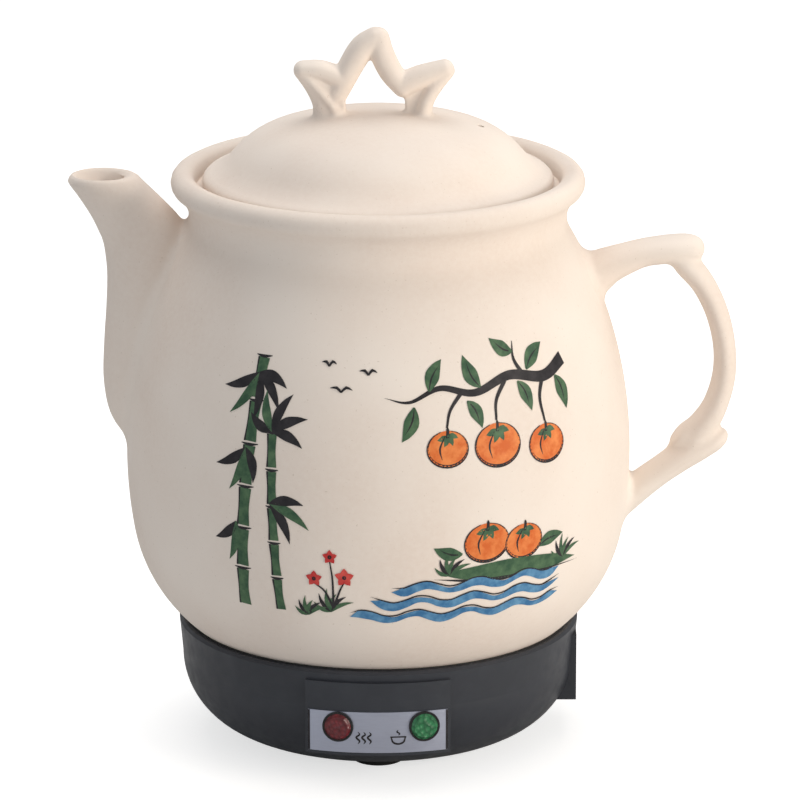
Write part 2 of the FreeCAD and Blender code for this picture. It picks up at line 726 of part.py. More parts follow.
def bow_arc():
    """Radius of the grip's bow, which leaves a straight length at the grip's foot."""
    up = (grip_top[0] - grip_corner[0], grip_top[1] - grip_corner[1])
    down = (grip_foot[0] - grip_corner[0], grip_foot[1] - grip_corner[1])
    up_length, down_length = (root(x * x + z * z) for x, z in (up, down))
    cosine_between = (up[0] * down[0] + up[1] * down[1]) / (up_length * down_length)
    return (down_length - s.grip_straight) * root((1 - cosine_between) / (1 + cosine_between))


def handle_twigs():
    """The bowed handle: one oval section along a line that starts and ends in the wall."""
    body = new_body("handle_twigs")
    path = rounded_path(
        body,
        "handle_path",
        "XZ_Plane",
        [
            handle_start,
            (*top_bend, s.handle_top_arc),
            (*grip_top, s.handle_corner),
            (*grip_corner, bow_arc()),
            (*grip_foot, s.handle_corner),
            handle_end,
        ],
    )
    section = new_sketch(body, "handle_section", "YZ_Plane", handle_start[0])
    centre = FreeCAD.Vector(0, handle_start[1].number, 0)
    wide = FreeCAD.Vector(s.handle_width.number / 2, centre.y, 0)
    thick = FreeCAD.Vector(0, centre.y + s.handle_thickness.number / 2, 0)
    oval_edge = section.addGeometry(Part.Ellipse(wide, thick, centre))
    section.exposeInternalGeometry(oval_edge)
    long_axis, short_axis = oval_edge + 1, oval_edge + 2
    hold_point(section, oval_edge, 3, 0, handle_start[1])
    hold_point(section, long_axis, 1, -s.handle_width / 2, handle_start[1])
    hold(section, "DistanceY", short_axis, 1, handle_start[1] - s.handle_thickness / 2)
    pipe = body.newObject("PartDesign::AdditivePipe", "handle_pipe")
    pipe.Profile = section
    pipe.Spine = path
    return body


def rod(name, radius, start, stop):
    """A round rod in the XZ plane between two points, each given as (x, z)."""
    across, up = stop[0] - start[0], stop[1] - start[1]
    turn = {"axis": (0, 1, 0), "angle": direction(across, up)}
    return cylinder(name, radius, root(across * across + up * up), x=start[0], z=start[1], **turn)


def capsule(name, start, stop, radius):
    """A rod with round ends."""
    ends = [ball("%s_end_%d" % (name, i), radius, x=p[0], z=p[1]) for i, p in enumerate((start, stop))]
    return [rod(name + "_rod", radius, start, stop), *ends]


top_knuckle = capsule(
    "top_knuckle",
    grip_top,
    (grip_top[0] + s.knuckle_top_length, grip_top[1] - s.knuckle_top_drop),
    s.knuckle_radius,
)
low_knuckle = capsule(
    "low_knuckle",
    grip_foot,
    (grip_foot[0] + s.knuckle_low_length, grip_foot[1] + s.knuckle_low_rise),
    s.knuckle_radius,
)
handle_form = fuse("handle_form", handle_twigs(), *top_knuckle, *low_knuckle)
node("handle", cut("handle_cut", handle_form, pot_form))


# ---------------------------------------------------------------- lid


brim_radius = ledge_outer - s.brim_play
shoulder_reach = brim_radius - s.shoulder_edge
crown_reach = shoulder_reach - s.crown_edge
crown_arc = (crown_reach * crown_reach + s.crown_fall * s.crown_fall) / (2 * s.crown_fall)
lid_top = ledge_height + s.lid_rise


def dome(wall):
    """The dome's crown and shoulder, or a surface inside them by a wall."""
    crown_centre = lid_top - crown_arc
    fall = crown_arc - s.crown_fall
    share = 1 - s.shoulder_arc / crown_arc
    centre = (crown_reach * share, crown_centre + fall * share)
    across = shoulder_reach - centre[0]
    up = root(s.shoulder_arc * s.shoulder_arc - across * across)
    crown_share = 1 - wall / crown_arc
    shoulder_share = 1 - wall / s.shoulder_arc
    return (
        (0, lid_top - wall),
        (crown_reach * crown_share, crown_centre + fall * crown_share),
        (centre[0] + across * shoulder_share, centre[1] + up * shoulder_share),
    )


ring_outer = ledge_inner - s.lid_play
ring_inner = ring_outer - s.ring_wall
ring_low = ledge_height - s.ring_depth
brim_top = ledge_height + s.brim_thickness
brim_turn = brim_radius - s.brim_thickness / 2
crown, crown_edge, shoulder_edge = dome(size(0))

lid_form = turned(
    "lid_form",
    [
        (0, ring_low),
        (ring_outer, ring_low),
        (ring_outer, ledge_height),
        (brim_turn, ledge_height, s.brim_thickness / 2),
        (brim_radius, ledge_height + s.brim_thickness / 2, s.brim_thickness / 2),
        (brim_turn, brim_top, -s.cove_arc),
        (*shoulder_edge, s.shoulder_arc),
        (*crown_edge, crown_arc),
        crown,
    ],
)
inner_crown, inner_crown_edge, inner_shoulder_edge = dome(s.lid_wall)
lid_void = turned(
    "lid_void",
    [
        (0, ring_low),
        (ring_inner, ring_low),
        (ring_inner, ledge_height),
        (*inner_shoulder_edge, s.shoulder_arc - s.lid_wall),
        (*inner_crown_edge, crown_arc - s.lid_wall),
        inner_crown,
    ],
)
vent_reach = brim_radius - s.vent_edge
vent = cylinder("vent", s.vent_radius, lid_top - ledge_height, x=vent_reach, z=ledge_height)
node("lid", cut("lid_cut", lid_form, lid_void, vent))

foot_height = lid_top - s.lid_wall / 2
knob_points = {
    "left_foot": (s.left_foot_x, foot_height),
    "left_peak": (s.left_peak_x, lid_top + s.left_peak_rise),
    "left_valley": (s.left_valley_x, lid_top + s.left_valley_rise),
    "middle_peak": (s.middle_peak_x, lid_top + s.middle_peak_rise),
    "right_valley": (s.right_valley_x, lid_top + s.right_valley_rise),
    "right_peak": (s.right_peak_x, lid_top + s.right_peak_rise),
    "right_foot": (s.right_foot_x, foot_height),
}
KNOB_TWIGS = (
    ("left_foot", "left_peak"),
    ("left_peak", "left_valley"),
    ("left_valley", "left_foot"),
    ("left_valley", "middle_peak"),
    ("middle_peak", "right_valley"),
    ("right_valley", "right_peak"),
    ("right_peak", "right_foot"),
    ("right_foot", "right_valley"),
)


def knob_form():
    """Twigs between the knob's points, with a ball at each point."""
    pieces = [ball("knob_" + name, s.twig_radius, x=x, z=z) for name, (x, z) in knob_points.items()]
    for first, last in KNOB_TWIGS:
        twig = rod("twig_%s_%s" % (first, last), s.twig_radius, knob_points[first], knob_points[last])
        pieces.append(twig)
    return fuse("knob_form", *pieces)


node("lid_knob", cut("lid_knob_cut", knob_form(), lid_form))


# ---------------------------------------------------------------- base shell

shell_top = s.seat_height + s.seat_depth
shell_top_radius = low_reach(shell_top) + s.shell_gap
shell_radius = shell_top_radius - s.shell_taper
shell_centre = (shell_radius - s.shell_arc, s.shell_turn_height)


def shell_reach(height, inset=0):
    """Radius of the shell's rounded part, or of a surface inset from it, at a height."""
    rise = s.shell_turn_height - height
    arc = s.shell_arc - inset
    return shell_centre[0] + root(arc * arc - rise * rise)


cover_radius = shell_reach(s.shell_bottom) - s.cover_rim
cover_top = s.shell_bottom + s.cover_thickness
floor_opening = cover_radius - s.cover_rest
floor_top = cover_top + s.floor_thickness
lip_inner = shell_top_radius - s.shell_wall
seat_inner = shell_top_radius - s.seat_width
panel_reach = shell_top_radius + s.panel_proud
panel_high = shell_top - s.panel_drop
inlet_face = shell_top_radius - s.inlet_setback
inlet_height = shell_top - s.inlet_drop
block_low = inlet_height - s.block_below
block_high = inlet_height + s.block_above

shell_form = turned(
    "shell_form",
    [
        (0, s.shell_bottom),
        (shell_reach(s.shell_bottom), s.shell_bottom, s.shell_arc),
        (shell_radius, s.shell_turn_height),
        (shell_top_radius, shell_top - s.lip_edge),
        (shell_top_radius - s.lip_edge, shell_top),
        (0, shell_top),
    ],
)
shell_void = turned(
    "shell_void",
    [
        (0, s.shell_bottom),
        (cover_radius + s.cover_play, s.shell_bottom),
        (cover_radius + s.cover_play, cover_top),
        (floor_opening, cover_top),
        (floor_opening, floor_top),
        (shell_reach(floor_top, s.shell_wall), floor_top, s.shell_arc - s.shell_wall),
        (shell_radius - s.shell_wall, s.shell_turn_height),
        (shell_radius - s.shell_wall, s.seat_height - s.seat_thickness),
        (seat_inner, s.seat_height - s.seat_thickness),
        (seat_inner, s.seat_height),
        (lip_inner, s.seat_height),
        (lip_inner, shell_top),
        (0, shell_top),
    ],
)


def front_band(name, angle, corners):
    """Part of a ring with the given section, centred on the front of the pot."""
    return place(turned(name, corners, angle=angle), axis=(0, 0, 1), angle=size(-90))


panel_root = shell_reach(s.panel_low - s.panel_slope, s.shell_wall / 2)
panel_form = front_band(
    "panel_form",
    s.panel_angle,
    [
        (panel_root, s.panel_low - s.panel_slope),
        (panel_reach, s.panel_low),
        (panel_reach, panel_high),
        (panel_root, panel_high),
    ],
)
label_front = panel_reach + s.plate_thickness
plate_form = front_band(
    "plate_form",
    s.plate_angle,
    [
        (panel_reach, s.plate_low),
        (label_front, s.plate_low),
        (label_front, s.plate_high),
        (panel_reach, s.plate_high),
    ],
)

block_form = box(
    "block_form",
    (0, -s.block_width / 2, block_low),
    (inlet_face, s.block_width, block_high - block_low),
)
block_void = box(
    "block_void",
    (0, s.block_side - s.block_width / 2, block_low + s.block_side),
    (
        inlet_face - s.block_wall,
        s.block_width - 2 * s.block_side,
        s.seat_height - s.seat_thickness - block_low - s.block_side,
    ),
)


def inlet_opening(name, width, tall, depth):
    """A slot for part of the inlet, from the block's face inwards."""
    wide, high = width + 2 * s.inlet_play, tall + 2 * s.inlet_play
    low = (inlet_face - depth, -wide / 2, inlet_height - high / 2)
    return box(name, low, (depth, wide, high))


flange_opening = inlet_opening("flange_opening", s.flange_width, s.flange_tall, s.flange_thickness)
socket_opening = inlet_opening("socket_opening", s.socket_width, s.socket_tall, s.block_wall)

clip_seat = panel_reach - s.panel_wall
lens_front = label_front + s.lens_proud
LAMPS = {"red_lamp": -s.red_lamp_turn, "green_lamp": s.green_lamp_turn}
barrel_radius = s.lens_radius + s.lens_play + s.bezel_wall


def lamp_piece(name, lamp, corners):
    """A round piece on a lamp's axis: corners are (distance from the pot's axis, radius)."""
    piece = turned(name, corners, axis="H_Axis")
    return place(piece, z=s.lamp_height, axis=(0, 0, 1), angle=LAMPS[lamp] - 90)


def lamp_hole(lamp):
    """The bore for a lamp's bezel, with the flat behind it for the clip."""
    hole = barrel_radius + s.lens_play
    flat = barrel_radius + s.clip_width + s.clip_room
    back = lens_front - s.lens_depth - s.neon_length
    corners = [
        (back, 0),
        (label_front, 0),
        (label_front, hole),
        (clip_seat, hole),
        (clip_seat, flat),
        (back, flat),
    ]
    return lamp_piece(lamp + "_hole", lamp, corners)


lamp_holes = [lamp_hole(lamp) for lamp in LAMPS]


def around(reach, angle):
    """A point in plan at a distance from the axis and an angle from +X, in degrees."""
    return reach * cosine(size(angle)), reach * sine(size(angle))


COVER_SCREW_ANGLES = (-30, 90, 210)
cover_screw_reach = cover_radius - s.cover_screw_edge
bar_screw_reach = cover_radius + s.bar_screw_out
boss_low = floor_top - s.boss_root
bar_top = s.reflector_height - s.reflector_sheet
bar_low = bar_top - s.bar_thickness


def bosses():
    """Posts for the screws of the cover and of the mounting bar."""
    posts = []
    for i, angle in enumerate(COVER_SCREW_ANGLES):
        x, y = around(cover_screw_reach, angle)
        tall = s.cover_boss_top - boss_low
        posts.append(cylinder("cover_boss_%d" % i, s.boss_radius, tall, x=x, y=y, z=boss_low))
    for i, y in enumerate((-bar_screw_reach, bar_screw_reach)):
        posts.append(cylinder("bar_boss_%d" % i, s.boss_radius, bar_low - boss_low, y=y, z=boss_low))
    return posts


def screw(name, x, y, seat, points_up, grip):
    """A pan-head screw whose head bears on a height."""
    sign = 1 if points_up else -1
    corners = [
        (0, -sign * s.screw_head_height),
        (s.screw_head, -sign * s.screw_head_height),
        (s.screw_head, 0),
        (s.screw_radius, 0),
        (s.screw_radius, sign * grip),
        (0, sign * grip),
    ]
    if not points_up:
        corners = corners[::-1]
    return place(turned(name, corners), x=x, y=y, z=seat)


def screw_bore(name, x, y, low, high):
    return cylinder(name, s.screw_radius, high - low, x=x, y=y, z=low)


cover_grip = s.cover_thickness + s.floor_thickness + s.screw_grip / 2
bar_grip = s.bar_thickness + s.screw_grip
bores = []
for index, turn in enumerate(COVER_SCREW_ANGLES):
    spot = around(cover_screw_reach, turn)
    bores.append(screw_bore("cover_bore_%d" % index, *spot, cover_top, s.shell_bottom + cover_grip))
for index, reach in enumerate((-bar_screw_reach, bar_screw_reach)):
    bores.append(screw_bore("bar_bore_%d" % index, 0, reach, bar_top - bar_grip, bar_low))

shell_blank = cut(
    "shell_blank",
    fuse("shell_with_block", shell_form, panel_form, block_form),
    shell_void,
    block_void,
    flange_opening,
    socket_opening,
    *lamp_holes,
)
node("base_housing", cut("base_housing_cut", fuse("shell_with_bosses", shell_blank, *bosses()), *bores))
node("label_plate", cut("label_plate_cut", plate_form, *lamp_holes))

seal_ring = ring("seal_ring", seat_inner, lip_inner, s.seat_height, shell_top + s.seal_proud)
node("pot_seal", cut("pot_seal_cut", seal_ring, pot_form))


# ---------------------------------------------------------------- lamps


def lamp(name):
    """A lamp's bezel, lens and neon."""
    inner = s.lens_radius + s.lens_play
    bezel_front = label_front + s.bezel_proud
    bezel = [
        (label_front - s.bezel_depth, inner),
        (bezel_front, inner),
        (bezel_front, barrel_radius + s.bezel_lip),
        (label_front, barrel_radius + s.bezel_lip),
        (label_front, barrel_radius),
        (label_front - s.bezel_depth, barrel_radius),
    ]
    node(name + "_bezel", lamp_piece(name + "_bezel_ring", name, bezel))
    lens_back = lens_front - s.lens_depth
    lens = [
        (lens_back, 0),
        (lens_front, 0),
        (lens_front, s.lens_radius - s.lens_edge),
        (lens_front - s.lens_edge, s.lens_radius),
        (lens_back, s.lens_radius),
    ]
    node(name + "_lens", lamp_piece(name + "_lens_drop", name, lens))
    neon_back = lens_back - s.neon_length
    neon = [(neon_back, 0), (lens_back, 0), (lens_back, s.neon_radius), (neon_back, s.neon_radius)]
    node(name + "_neon", lamp_piece(name + "_neon_tube", name, neon))


def lamp_clip(name):
    """The push-on ring behind the panel."""
    inner = barrel_radius + s.clip_play
    outer = barrel_radius + s.clip_width
    back = clip_seat - s.clip_thickness
    corners = [(back, inner), (clip_seat, inner), (clip_seat, outer), (back, outer)]
    return lamp_piece(name + "_clip", name, corners)


for lamp_name in LAMPS:
    lamp(lamp_name)
node("lamp_clips", fuse("lamp_clip_pair", *[lamp_clip(lamp_name) for lamp_name in LAMPS]))


# ---------------------------------------------------------------- inlet


def centred_slab(name, front, depth, width, tall):
    """A slab on the inlet's axis, with its front at a distance from the pot's axis."""
    low = (front - depth, -width / 2, inlet_height - tall / 2)
    return box(name, low, (depth, width, tall))


def inlet_pin_places():
    """Where each pin lies across and in height."""
    return {
        "live": (-s.pin_pitch, inlet_height),
        "earth": (size(0), inlet_height + s.earth_offset),
        "neutral": (s.pin_pitch, inlet_height),
    }


tip = inlet_face - s.pin_setback
tail = inlet_face - s.socket_length - s.pin_tail
down_x = tail - s.lead_stand_off


def inlet_pins(name):
    """The three flat pins, or the slots that they sit in."""
    pins = []
    for pin, (y, z) in inlet_pin_places().items():
        low = (tail, y - s.pin_width / 2, z - s.pin_tall / 2)
        pins.append(box("%s_%s" % (name, pin), low, (tip - tail, s.pin_width, s.pin_tall)))
    return pins


inlet_flange = centred_slab(
    "inlet_flange", inlet_face, s.flange_thickness, s.flange_width, s.flange_tall
)
inlet_case = centred_slab(
    "inlet_case", inlet_face, s.socket_length, s.socket_width, s.socket_tall
)
inlet_tabs = centred_slab(
    "inlet_tabs",
    inlet_face - s.block_wall - s.inlet_play,
    s.tab_length,
    s.socket_width + 2 * s.tab_width,
    s.socket_tall / 2,
)
inlet_recess = centred_slab(
    "inlet_recess", inlet_face, s.recess_depth, s.recess_width, s.recess_tall
)
node(
    "inlet_socket",
    cut(
        "inlet_socket_cut",
        fuse("inlet_form", inlet_flange, inlet_case, inlet_tabs),
        inlet_recess,
        *inlet_pins("pin_slot"),
    ),
)
node("inlet_pins", fuse("inlet_pin_set", *inlet_pins("pin")))


# ---------------------------------------------------------------- heater and clamp

stud_bore = s.stud_radius + s.stud_play
plate_radius = s.pot_foot - s.plate_edge
ring_reach = plate_radius - s.element_edge
heater_low = s.pot_bottom - s.heater_thickness
element_height = s.pot_bottom - s.element_drop


def element_ring(name, radius, sweep):
    """The element's tube as part of a ring, with its gap towards the inlet."""
    thing = doc.addObject("Part::Torus", name)
    bind(thing, Radius1=ring_reach, Radius2=radius, Angle3=sweep)
    return place(thing, z=element_height, axis=(0, 0, 1), angle=180 - sweep / 2)


heater_blank = ring("heater_blank", stud_bore, plate_radius, heater_low, s.pot_bottom)
groove = element_ring("groove", s.element_radius + s.groove_play, size(360))
node("heating_plate", cut("heating_plate_cut", heater_blank, groove))

end_angle = 180 - s.element_sweep / 2
terminal_spots = [around(ring_reach, end_angle * side) for side in (-1, 1)]
terminals = [
    cylinder(
        "terminal_%d" % i, s.terminal_radius, element_height - s.terminal_end, x=x, y=y, z=s.terminal_end
    )
    for i, (x, y) in enumerate(terminal_spots)
]
element_tube = element_ring("element_tube", s.element_radius, s.element_sweep)
node("heating_element", fuse("heating_element_form", element_tube, *terminals))

gasket_top = pot_inner_floor + s.gasket_thickness
cap_top = gasket_top + s.cap_edge + s.cap_dome
dome_arc = (s.cap_radius * s.cap_radius + s.cap_dome * s.cap_dome) / (2 * s.cap_dome)
node(
    "clamp_screw",
    turned(
        "clamp_screw_form",
        [
            (0, s.stud_end),
            (s.stud_radius, s.stud_end),
            (s.stud_radius, gasket_top),
            (s.cap_radius, gasket_top),
            (s.cap_radius, gasket_top + s.cap_edge, dome_arc),
            (0, cap_top),
        ],
    ),
)
node("cap_gasket", ring("gasket_ring", stud_bore, s.gasket_radius, pot_inner_floor, gasket_top))
spacer_radius = stud_bore + s.spacer_wall
node("clamp_spacer", ring("spacer_ring", stud_bore, spacer_radius, s.reflector_height, heater_low))
washer_low = bar_low - s.washer_thickness
node("clamp_washer", ring("washer_ring", stud_bore, s.washer_radius, washer_low, bar_low))


def clamp_nut():
    prism = doc.addObject("Part::Prism", "nut_prism")
    prism.Polygon = 6
    bind(prism, Circumradius=s.nut_flats / root(size(3)), Height=s.nut_height)
    place(prism, z=washer_low - s.nut_height)
    bore = cylinder("nut_bore", s.stud_radius + s.thread_play, s.nut_height, z=washer_low - s.nut_height)
    return cut("clamp_nut_cut", prism, bore)


node("clamp_nut", clamp_nut())

thermostat_reach = ring_reach - s.thermostat_gap
THERMOSTATS = {"boil": 180 - s.thermostat_turn, "warm": 180 + s.thermostat_turn}


def reflector():
    """A dished sheet with holes for what reaches through it."""
    top, sheet_thickness = s.reflector_height, s.reflector_sheet
    edge = down_x - s.lead_radius - s.reflector_gap
    blank = turned(
        "reflector_blank",
        [
            (stud_bore, top - sheet_thickness),
            (edge - s.reflector_flare, top - sheet_thickness),
            (edge, top - sheet_thickness + s.reflector_rise),
            (edge, top + s.reflector_rise),
            (edge - s.reflector_flare, top),
            (stud_bore, top),
        ],
    )
    low, tall = top - 2 * sheet_thickness, 4 * sheet_thickness
    holes = [
        cylinder("terminal_hole_%d" % i, s.terminal_radius + s.hole_margin, tall, x=x, y=y, z=low)
        for i, (x, y) in enumerate(terminal_spots)
    ]
    for name, angle in THERMOSTATS.items():
        x, y = around(thermostat_reach, angle)
        holes.append(cylinder(name + "_hole", s.thermostat_radius, tall, x=x, y=y, z=low))
    return cut("heat_reflector_cut", blank, *holes)


node("heat_reflector", reflector())


def mounting_bar():
    """A flat bar from boss to boss, drilled for the bolt and for its own screws."""
    body = new_body("mounting_bar_body")
    half_length, half_width = bar_screw_reach + s.bar_overhang, s.bar_width / 2
    corners = [
        (-half_width, -half_length),
        (half_width, -half_length),
        (half_width, half_length),
        (-half_width, half_length),
    ]
    bar = body.newObject("PartDesign::Pad", "bar_pad")
    bar.Profile = outline(body, "bar_outline", "XY_Plane", corners, lift=bar_low)
    bind(bar, Length=s.bar_thickness)
    hole = s.screw_radius + s.screw_play
    rounds = [(0, 0, stud_bore), (0, -bar_screw_reach, hole), (0, bar_screw_reach, hole)]
    holes = body.newObject("PartDesign::Pocket", "bar_holes")
    holes.Profile = circles(body, "bar_hole_circles", "XY_Plane", rounds, lift=bar_top)
    bind(holes, Length=s.bar_thickness)
    return body


node("mounting_bar", mounting_bar())
bar_screws = [
    screw("bar_screw_%d" % i, 0, y, bar_top, False, bar_grip)
    for i, y in enumerate((-bar_screw_reach, bar_screw_reach))
]
node("bar_screws", fuse("bar_screw_pair", *bar_screws))


def thermostat(name, angle):
    """A round bimetal switch against the plate, with two blades that point down."""
    x, y = around(thermostat_reach, angle)
    low = heater_low - s.thermostat_height
    case = cylinder(name + "_case", s.thermostat_radius, s.thermostat_height, x=x, y=y, z=low)
    blades = []
    for i, side in enumerate((-1, 1)):
        corner = (
            x + s.blade_reach * side - s.blade_thickness / 2,
            y - s.blade_width / 2,
            low - s.blade_length,
        )
        lengths = (s.blade_thickness, s.blade_width, s.blade_length)
        blades.append(box("%s_blade_%d" % (name, i), corner, lengths))
    return fuse(name + "_form", case, *blades)


for thermostat_name, thermostat_angle in THERMOSTATS.items():
    node(thermostat_name + "_thermostat", thermostat(thermostat_name, thermostat_angle))

fuse_tube = cylinder(
    "fuse_tube",
    s.fuse_radius,
    s.fuse_length,
    x=s.fuse_reach,
    y=s.fuse_length / 2,
    z=heater_low - s.fuse_radius,
    axis=(1, 0, 0),
    angle=size(90),
)
node("thermal_fuse", fuse_tube)

block_middle = cover_screw_reach - s.block_gap
block_corner = (-s.block_depth / 2, block_middle - s.block_length / 2, bar_low - s.block_tall)
node("terminal_block", box("terminal_body", block_corner, (s.block_depth, s.block_length, s.block_tall)))


# ---------------------------------------------------------------- inner leads


BEND_SHARE = 0.45  # the largest part of a lead's straight run that a bend takes up


def lead(name, route):
    """A round lead along straight runs with a tangent arc at each inner corner."""
    points = [FreeCAD.Vector(*[size(c).number for c in point]) for point in route]
    edges, start = [], points[0]
    for before, corner, after in zip(points, points[1:], points[2:]):
        shorter = min((before - corner).Length, (after - corner).Length)
        back, on = (before - corner).normalize(), (after - corner).normalize()
        half = back.getAngle(on) / 2
        radius = min(s.lead_bend.number, BEND_SHARE * shorter * math.tan(half))
        reach = radius / math.tan(half)
        middle = (back + on).normalize() * (radius / math.sin(half) - radius)
        stop = corner + back * reach
        edges.append(Part.makeLine(start, stop))
        start = corner + on * reach
        edges.append(Part.Arc(stop, corner + middle, start).toShape())
    edges.append(Part.makeLine(start, points[-1]))
    path = Part.Wire(edges)
    section = Part.Wire(Part.makeCircle(s.lead_radius.number, points[0], points[1] - points[0]))
    thing = doc.addObject("Part::Feature", name)
    thing.Shape = path.makePipeShell([section], True, False)
    return thing


pin_spots = inlet_pin_places()
earth_spot = (s.bar_width / 4, -s.washer_radius - s.bar_width / 2)
lead_ends = {
    "live": (*terminal_spots[0], s.terminal_end),
    "neutral": (*terminal_spots[1], s.terminal_end),
    "earth": (*earth_spot, bar_low),
}
for pin_name, (end_x, end_y, end_z) in lead_ends.items():
    pin_y, pin_z = pin_spots[pin_name]
    route = [
        (tail, pin_y, pin_z),
        (down_x, pin_y, pin_z),
        (down_x, pin_y, s.lead_height),
        (end_x, end_y, s.lead_height),
        (end_x, end_y, end_z),
    ]
    node(pin_name + "_lead", lead(pin_name + "_wire", route))


# ---------------------------------------------------------------- cover and feet

FOOT_ANGLES = {"foot_front": -90, "foot_rear_right": 30, "foot_rear_left": 150}
foot_reach = cover_radius - s.foot_edge
pad_radius = foot_reach - s.pad_gap
air_hole_reach = pad_radius - s.air_hole_edge


def bottom_cover():
    """A round cover with a pressed-out middle, air holes, screw holes and holes for the feet."""
    body = new_body("bottom_cover_body")
    corners = [
        (0, s.pad_height),
        (pad_radius, s.pad_height),
        (pad_radius, s.shell_bottom),
        (cover_radius, s.shell_bottom),
        (cover_radius, cover_top),
        (0, cover_top),
    ]
    disc = body.newObject("PartDesign::Revolution", "cover_disc")
    disc.Profile = outline(body, "cover_outline", "XZ_Plane", corners)
    disc.ReferenceAxis = (disc.Profile[0], ["V_Axis"])
    disc.Angle = 360
    screw_start = around(cover_screw_reach, COVER_SCREW_ANGLES[0])
    foot_start = around(foot_reach, FOOT_ANGLES["foot_front"])
    drillings = (
        ("air_hole", around(air_hole_reach, 0), s.air_hole_radius, s.air_hole_count),
        ("screw_hole", screw_start, s.screw_radius + s.screw_play, len(COVER_SCREW_ANGLES)),
        ("foot_hole", foot_start, s.stem_radius + s.stem_play, len(FOOT_ANGLES)),
    )
    for name, (x, y), radius, count in drillings:
        hole = body.newObject("PartDesign::Pocket", name)
        hole.Profile = circles(body, name + "_circle", "XY_Plane", [(x, y, radius)], lift=cover_top)
        bind(hole, Length=cover_top)
        patterned(body, name + "s", hole, count)
    return body


node("bottom_cover", bottom_cover())
cover_screws = [
    screw("cover_screw_%d" % i, *around(cover_screw_reach, angle), s.shell_bottom, True, cover_grip)
    for i, angle in enumerate(COVER_SCREW_ANGLES)
]
node("cover_screws", fuse("cover_screw_set", *cover_screws))


def foot(name, angle):
    """A tapered rubber foot whose barbed stem snaps through the cover."""
    barb_low = cover_top
    corners = [
        (0, 0),
        (s.foot_radius, 0),
        (s.foot_top_radius, s.shell_bottom),
        (s.stem_radius, s.shell_bottom),
        (s.stem_radius, barb_low),
        (s.barb_radius, barb_low),
        (s.stem_radius, barb_low + s.barb_height),
        (0, barb_low + s.barb_height),
    ]
    x, y = around(foot_reach, angle)
    return place(turned(name + "_form", corners), x=x, y=y)


for foot_name, foot_angle in FOOT_ANGLES.items():
    node(foot_name, foot(foot_name, foot_angle))


# ---------------------------------------------------------------- check and write

doc.recompute()
for thing in doc.Objects:
    if "Invalid" in thing.State or "Error" in thing.State:
        raise RuntimeError("%s failed: %s" % (thing.Name, thing.State))
os.makedirs("parts", exist_ok=True)
for thing in nodes:
    if thing.Shape.isNull() or not thing.Shape.isValid():
        raise RuntimeError("%s has no sound shape" % thing.Label)
for thing in nodes:
    thing.Shape.exportStep("parts/%s.step" % thing.Label)
print("wrote %d sub-parts" % len(nodes))
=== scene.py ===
# %% [markdown]
# # An electric pot for herbal medicine
# A matt stoneware jar stands in a base of black plastic with a small panel and two lamps. The
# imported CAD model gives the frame. The pot's sizes are in millimetres in that frame, and
# `piece` turns a finished mesh into metres.

# %% Load the frame
import json
import math

import bmesh
import bpy
from mathutils import Matrix, Vector
from mathutils.bvhtree import BVHTree
from mathutils.kdtree import KDTree


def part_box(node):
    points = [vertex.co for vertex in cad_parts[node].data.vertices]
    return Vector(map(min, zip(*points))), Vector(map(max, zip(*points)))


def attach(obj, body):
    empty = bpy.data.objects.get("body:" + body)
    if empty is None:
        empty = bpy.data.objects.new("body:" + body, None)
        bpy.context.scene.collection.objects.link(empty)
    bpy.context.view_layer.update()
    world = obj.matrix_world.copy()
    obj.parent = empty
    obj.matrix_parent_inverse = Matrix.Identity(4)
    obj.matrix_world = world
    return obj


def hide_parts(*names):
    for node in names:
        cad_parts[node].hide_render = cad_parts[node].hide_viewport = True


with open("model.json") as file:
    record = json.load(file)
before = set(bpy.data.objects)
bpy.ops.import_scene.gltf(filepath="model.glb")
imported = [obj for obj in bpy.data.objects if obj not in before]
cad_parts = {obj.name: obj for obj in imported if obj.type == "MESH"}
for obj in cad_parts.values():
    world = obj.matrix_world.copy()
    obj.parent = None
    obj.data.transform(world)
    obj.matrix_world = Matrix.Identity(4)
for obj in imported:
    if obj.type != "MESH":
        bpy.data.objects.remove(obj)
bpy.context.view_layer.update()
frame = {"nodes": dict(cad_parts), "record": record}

MM = 0.001

# %% [markdown]
# ## Profiles
# Cast pots are round, so one profile describes them. A corner is (radius, height), or
# (radius, height, bend) where an arc of that bend leads on to the next corner. Steps of about
# 3 mm along an arc are finer than the eye sees on clay.

# %% A profile with arcs in it
ARC_STEP, LINE_STEP = 3.0, 6.0


def arc_points(start, stop, bend):
    """Points between start and stop along an arc; a negative bend turns to the other side."""
    along = stop - start
    side = Vector((-along.y, along.x)).normalized()
    rise = math.sqrt(bend**2 - (along.length / 2) ** 2)
    centre = (start + stop) / 2 + side * math.copysign(rise, bend)
    turn = 2 * math.asin(along.length / 2 / abs(bend))
    steps = max(3, math.ceil(abs(bend) * turn / ARC_STEP))
    spoke = start - centre
    points = []
    for i in range(1, steps):
        swing = Matrix.Rotation(math.copysign(turn, bend) * i / steps, 2)
        points.append(tuple(centre + swing @ spoke))
    return points


def line_points(start, stop):
    """Points between start and stop on a straight line."""
    steps = math.ceil((stop - start).length / LINE_STEP)
    return [tuple(start.lerp(stop, i / steps)) for i in range(1, steps)]


def profile(corners):
    """A closed run of points through all the corners."""
    points = []
    for corner, after in zip(corners, [*corners[1:], corners[0]]):
        start, stop = Vector(corner[:2]), Vector(after[:2])
        points.append(corner[:2])
        if len(corner) == 3:
            points += arc_points(start, stop, corner[2])
        else:
            points += line_points(start, stop)
    return points


print("points on an arc are at most", ARC_STEP, "mm apart")

# %% [markdown]
# ## Turning a profile
# `bmesh.ops.spin` does in one call what a potter's wheel does. Points on the axis come out
# once per step, so doubles are merged. Then the normals are turned outwards.

# %% The wheel
WHEEL_STEPS, SAME_PLACE = 168, 1e-3


